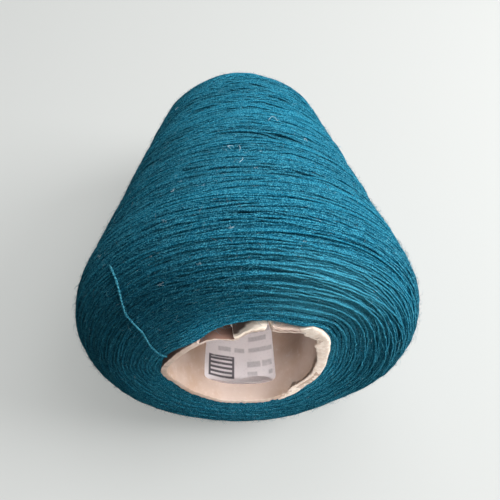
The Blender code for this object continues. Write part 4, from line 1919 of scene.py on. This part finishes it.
# ---- loose end
@dataclass
class LooseEnd:
    """The loose end of the yarn, laid over the front face and tucked in beside the rim."""

    cone: Cone
    diameter: float = 0.0010
    gap: float = 0.0006
    twist_length: float = 0.0030
    taper_length: float = 0.0015
    samples: int = 24
    rings: int = 360
    sides: int = 12
    path_points: int = 40
    route: tuple[tuple[float, float], ...] = (
        (0.0417, 131.9), (0.0366, 131.4), (0.0328, 132.3), (0.0287, 134.4), (0.0248, 137.1),
        (0.0203, 139.2), (0.0157, 142.5), (0.0105, 149.3), (0.0054, 154.7), (0.0015, 156.5))

    def face_line(self) -> tuple[Array, Array, Array]:
        """The front face's section from the bore's edge out over the shoulder, edge left square.

        Returns:
            Distances along it, its points as radius and depth, and its outward normals.
        """
        sizes = self.cone.sizes
        corners = [np.array([float(sizes.paper_radius(0.0)) + sizes.fit_gap, 0.0]),
                   np.array([sizes.shoulder_radius, sizes.face_dish]),
                   np.array([sizes.nose_radius, sizes.package_length])]
        arc = rounded_corner(*corners, sizes.shoulder_round, ARC_STEPS)
        line = np.vstack([corners[0][None], arc, corners[2][None]])
        run = run_along(line)
        fine_run = np.arange(0.0, run[-1], 2.0 * RUN_PITCH)
        fine = read_line(fine_run, run, line)
        along = unit(np.gradient(fine, axis=0))
        return fine_run, fine, np.stack([along[:, 1], -along[:, 0]], axis=1)

    def line(self) -> Array:
        """Points of the route: a smooth curve through its places, each a distance out from the
        bore's edge along the front face and an angle in degrees.

        Between two places the curve is the cubic whose slope at each is half the step from the
        place before to the place after.

        Returns:
            Points evenly along the curve.
        """
        run, face, outward = self.face_line()
        distance, degrees = np.array(self.route).T
        foot = read_line(distance, run, face)
        out = unit(read_line(distance, run, outward))
        radius, depth = (foot + out * (self.diameter / 2.0 + self.gap)).T
        keys = self.cone.place(radius, np.radians(degrees), depth, paper=False)
        ends = np.vstack([2 * keys[0] - keys[1], keys, 2 * keys[-1] - keys[-2]])
        t = np.linspace(0.0, 1.0, self.samples, endpoint=False)[:, None]
        curve = [0.5 * (2 * b + (c - a) * t + (2 * a - 5 * b + 4 * c - d) * t ** 2
                        + (3 * b - a - 3 * c + d) * t ** 3)
                 for a, b, c, d in zip(ends[:-3], ends[1:-2], ends[2:-1], ends[3:])]
        curve = np.vstack([*curve, keys[-1:]])
        length = run_along(curve)
        return read_line(np.linspace(0.0, length[-1], self.rings), length, curve)

    def build(self, finish: YarnFinish) -> bpy.types.Object:
        """Its section has two lobes, the two plies, that turn once in each twist along the strand:
        radius = r * (0.80 + 0.14 * cos(2 * (way round - turn))), tapered at the cut end.

        Args:
            finish: Finish of the strand.

        Returns:
            The strand.
        """
        line = self.line()
        along = unit(np.gradient(line, axis=0))
        side = unit(np.cross(along, np.array([0.0, -0.6, 0.8])))
        other = np.cross(along, side)
        length = run_along(line)
        turn = np.arange(self.sides) / self.sides
        way = FULL_TURN * turn
        twist = FULL_TURN * length / self.twist_length
        taper = 0.35 + 0.65 * smooth_step(length, 0.0, self.taper_length)
        thick = self.diameter / 2.0 * taper[:, None] * (
            0.80 + 0.14 * np.cos(2.0 * (way[None] - twist[:, None]))
            + 0.05 * Ripple(41, (0, 1), (0.0008, 0.004), 8).at(
                0.0 * length, length)[:, None])
        ring = (line[:, None] + thick[..., None] * (
            np.cos(way)[None, :, None] * side[:, None]
            + np.sin(way)[None, :, None] * other[:, None]))
        yarn = np.stack([np.repeat(length[:, None], self.sides, 1),
                         np.repeat(turn[None], len(line), 0)], axis=-1)
        obj = closed_sheet("loose_end", ring, False, {"Yarn": yarn},
                           {"tone": np.ones(ring.shape[:2])})
        dress(obj, finish.make(), "yarn_tail", "yarn_tail")
        LOG.info("loose end %.1f mm long", 1000 * length[-1])
        return obj


# ---- studio
def toward(compass: float, height: float) -> Array:
    """Direction to a place seen from the cone, as x, y, z.

    Args:
        compass: Degrees from the front towards the right.
        height: Degrees above the floor.

    Returns:
        A vector of length one.
    """
    side, up = math.radians(compass), math.radians(height)
    return np.array([math.sin(side) * math.cos(up), -math.cos(side) * math.cos(up),
                     math.sin(up)])


def hang(name: str, data: bpy.types.ID, back: Array, place: Array,
         roll: float = 0.0) -> bpy.types.Object:
    """Puts a camera or a lamp in its place, looking the opposite way to back.

    Args:
        name: Its name.
        data: The camera or lamp.
        back: Direction behind it, of length one.
        place: Where it stands.
        roll: Degrees that it is turned about its line of sight.

    Returns:
        The object, linked into the scene.
    """
    obj = bpy.data.objects.new(name, data)
    bpy.context.scene.collection.objects.link(obj)
    level = unit(np.cross(np.array([0.0, 0.0, 1.0]), back))
    above = np.cross(back, level)
    turn = math.radians(roll)
    axes = np.eye(4)
    axes[:3, 0] = level * math.cos(turn) + above * math.sin(turn)
    axes[:3, 1] = -level * math.sin(turn) + above * math.cos(turn)
    axes[:3, 2] = back
    axes[:3, 3] = place
    obj.matrix_world = Matrix(axes.tolist())
    return obj


class Lamp(enum.Enum):
    """A soft lamp: compass angle from the front towards the right, height angle, watts."""

    KEY = (90.0, 32.0, 14.0)
    KEY_HIGH = (90.0, 60.0, 5.0)
    FRONT_HIGH = (45.0, 60.0, 2.0)
    BACK_RIGHT = (135.0, 60.0, 3.0)
    BACK = (180.0, 60.0, 2.0)


@dataclass(frozen=True)
class Beam:
    """A soft round beam: compass and height angle, distance, watts, cone and aim."""

    compass: float = -4.0
    height: float = 36.0
    distance: float = 0.5
    power: float = 9.9
    cone: float = 11.5
    radius: float = 0.02
    aim: tuple[float, float, float] = (0.004, -0.074, 0.072)


@dataclass
class Studio:
    """Camera, lamps and floor."""

    beam: Beam = Beam()
    position: tuple[float, float, float] = (-0.00078, -0.13947, 0.28556)
    elevation: float = 61.2
    azimuth: float = -1.4
    roll: float = -1.1
    lens: float = 37.44
    sensor: float = 36.0
    lamp_size: float = 0.6
    lamp_distance: float = 1.1
    lamp_aim: tuple[float, float, float] = (0.0, 0.0, 0.06)
    surroundings: tuple[float, float, float, float] = (0.96, 0.98, 1.0, 1.0)
    surroundings_light: float = 0.09
    surroundings_seen: float = 0.80
    floor_half: float = 6.0

    def camera(self) -> None:
        """Places the camera: it looks back along the line at its elevation and azimuth."""
        data = bpy.data.cameras.new("camera")
        data.lens = self.lens
        data.sensor_width = self.sensor
        data.clip_start = 0.01
        bpy.context.scene.camera = hang("camera", data, toward(self.azimuth, self.elevation),
                                        np.array(self.position), self.roll)

    def lamps(self) -> None:
        """Hangs the soft lamps and the beam."""
        for lamp in Lamp:
            compass, height, power = lamp.value
            data = bpy.data.lights.new(lamp.name.lower(), "AREA")
            data.shape = "DISK"
            data.size = self.lamp_size
            data.energy = power
            back = toward(compass, height)
            hang(lamp.name.lower(), data, back,
                 back * self.lamp_distance + np.array(self.lamp_aim))
        self.mouth_beam()

    def mouth_beam(self) -> None:
        """Hangs the soft beam that lights the mouth from the front."""
        beam = self.beam
        data = bpy.data.lights.new("mouth_beam", "SPOT")
        data.energy = beam.power
        data.spot_size = math.radians(beam.cone)
        data.spot_blend = 1.0
        data.shadow_soft_size = beam.radius
        back = toward(beam.compass, beam.height)
        hang("mouth_beam", data, back, back * beam.distance + np.array(beam.aim))

    def backdrop(self) -> None:
        """Sets the pale surroundings: faint as a light, bright where they are seen."""
        world = bpy.data.worlds.new("studio")
        bpy.context.scene.world = world
        world.use_nodes = True
        tree = world.node_tree
        ground = tree.nodes["Background"]
        ground.inputs["Color"].default_value = self.surroundings
        seen = tree.nodes.new("ShaderNodeLightPath")
        level = tree.nodes.new("ShaderNodeMapRange")
        level.inputs["To Min"].default_value = self.surroundings_light
        level.inputs["To Max"].default_value = self.surroundings_seen
        tree.links.new(seen.outputs["Is Camera Ray"], level.inputs["Value"])
        tree.links.new(level.outputs["Result"], ground.inputs["Strength"])
        bpy.context.scene.view_settings.view_transform = "Standard"

    def floor(self) -> None:
        """Lays the floor."""
        half = self.floor_half
        points = np.array([[-half, -half, 0.0], [half, -half, 0.0], [half, half, 0.0],
                           [-half, half, 0.0]])
        obj = mesh_object("floor", points, np.array([[0, 1, 2, 3]]))
        obj.data.materials.append(FloorFinish("pale_floor").make())


def main() -> None:
    """Builds the cone of yarn in order and reports each piece."""
    logging.basicConfig(level=logging.INFO, format="%(message)s")
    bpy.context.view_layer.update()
    sizes = ConeSizes()
    front, back = (corner[1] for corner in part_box("cone_board"))
    LOG.info("model's cone runs from y %.4f to %.4f", front, back)
    cone = Cone(sizes, ConeSpace(back - sizes.mouth_to_nose, sizes.mouth_height, sizes.tilt))
    studio = Studio()
    studio.camera()
    LooseEnd(cone).build(YarnFinish("loose_yarn", body=linear(52, 138, 160),
                                    light=linear(110, 182, 198)))
    PaperCone(cone).build(PaperFinish("cone_board_paper"), PaperFinish("cone_liner_paper"),
                          PulpFinish("torn_pulp"), LabelFinish("label_paper"))
    Package(cone, Outline(sizes)).build(
        YarnFinish("wound_yarn"),
        # The core's colours are darker than the strands' as painted shade between them.
        YarnFinish("buried_yarn_painted_shade", dark=linear(2, 38, 54), body=linear(7, 66, 86),
                   light=linear(24, 98, 120)),
        YarnFinish("yarn_fuzz", dark=linear(20, 98, 122), body=linear(62, 150, 172),
                   light=linear(124, 196, 212)),
        LintFinish("pale_fibre", linear(128, 188, 204)), LintFinish("caught_lint"))
    studio.lamps()
    studio.backdrop()
    studio.floor()


if __name__ == "__main__":
    main()
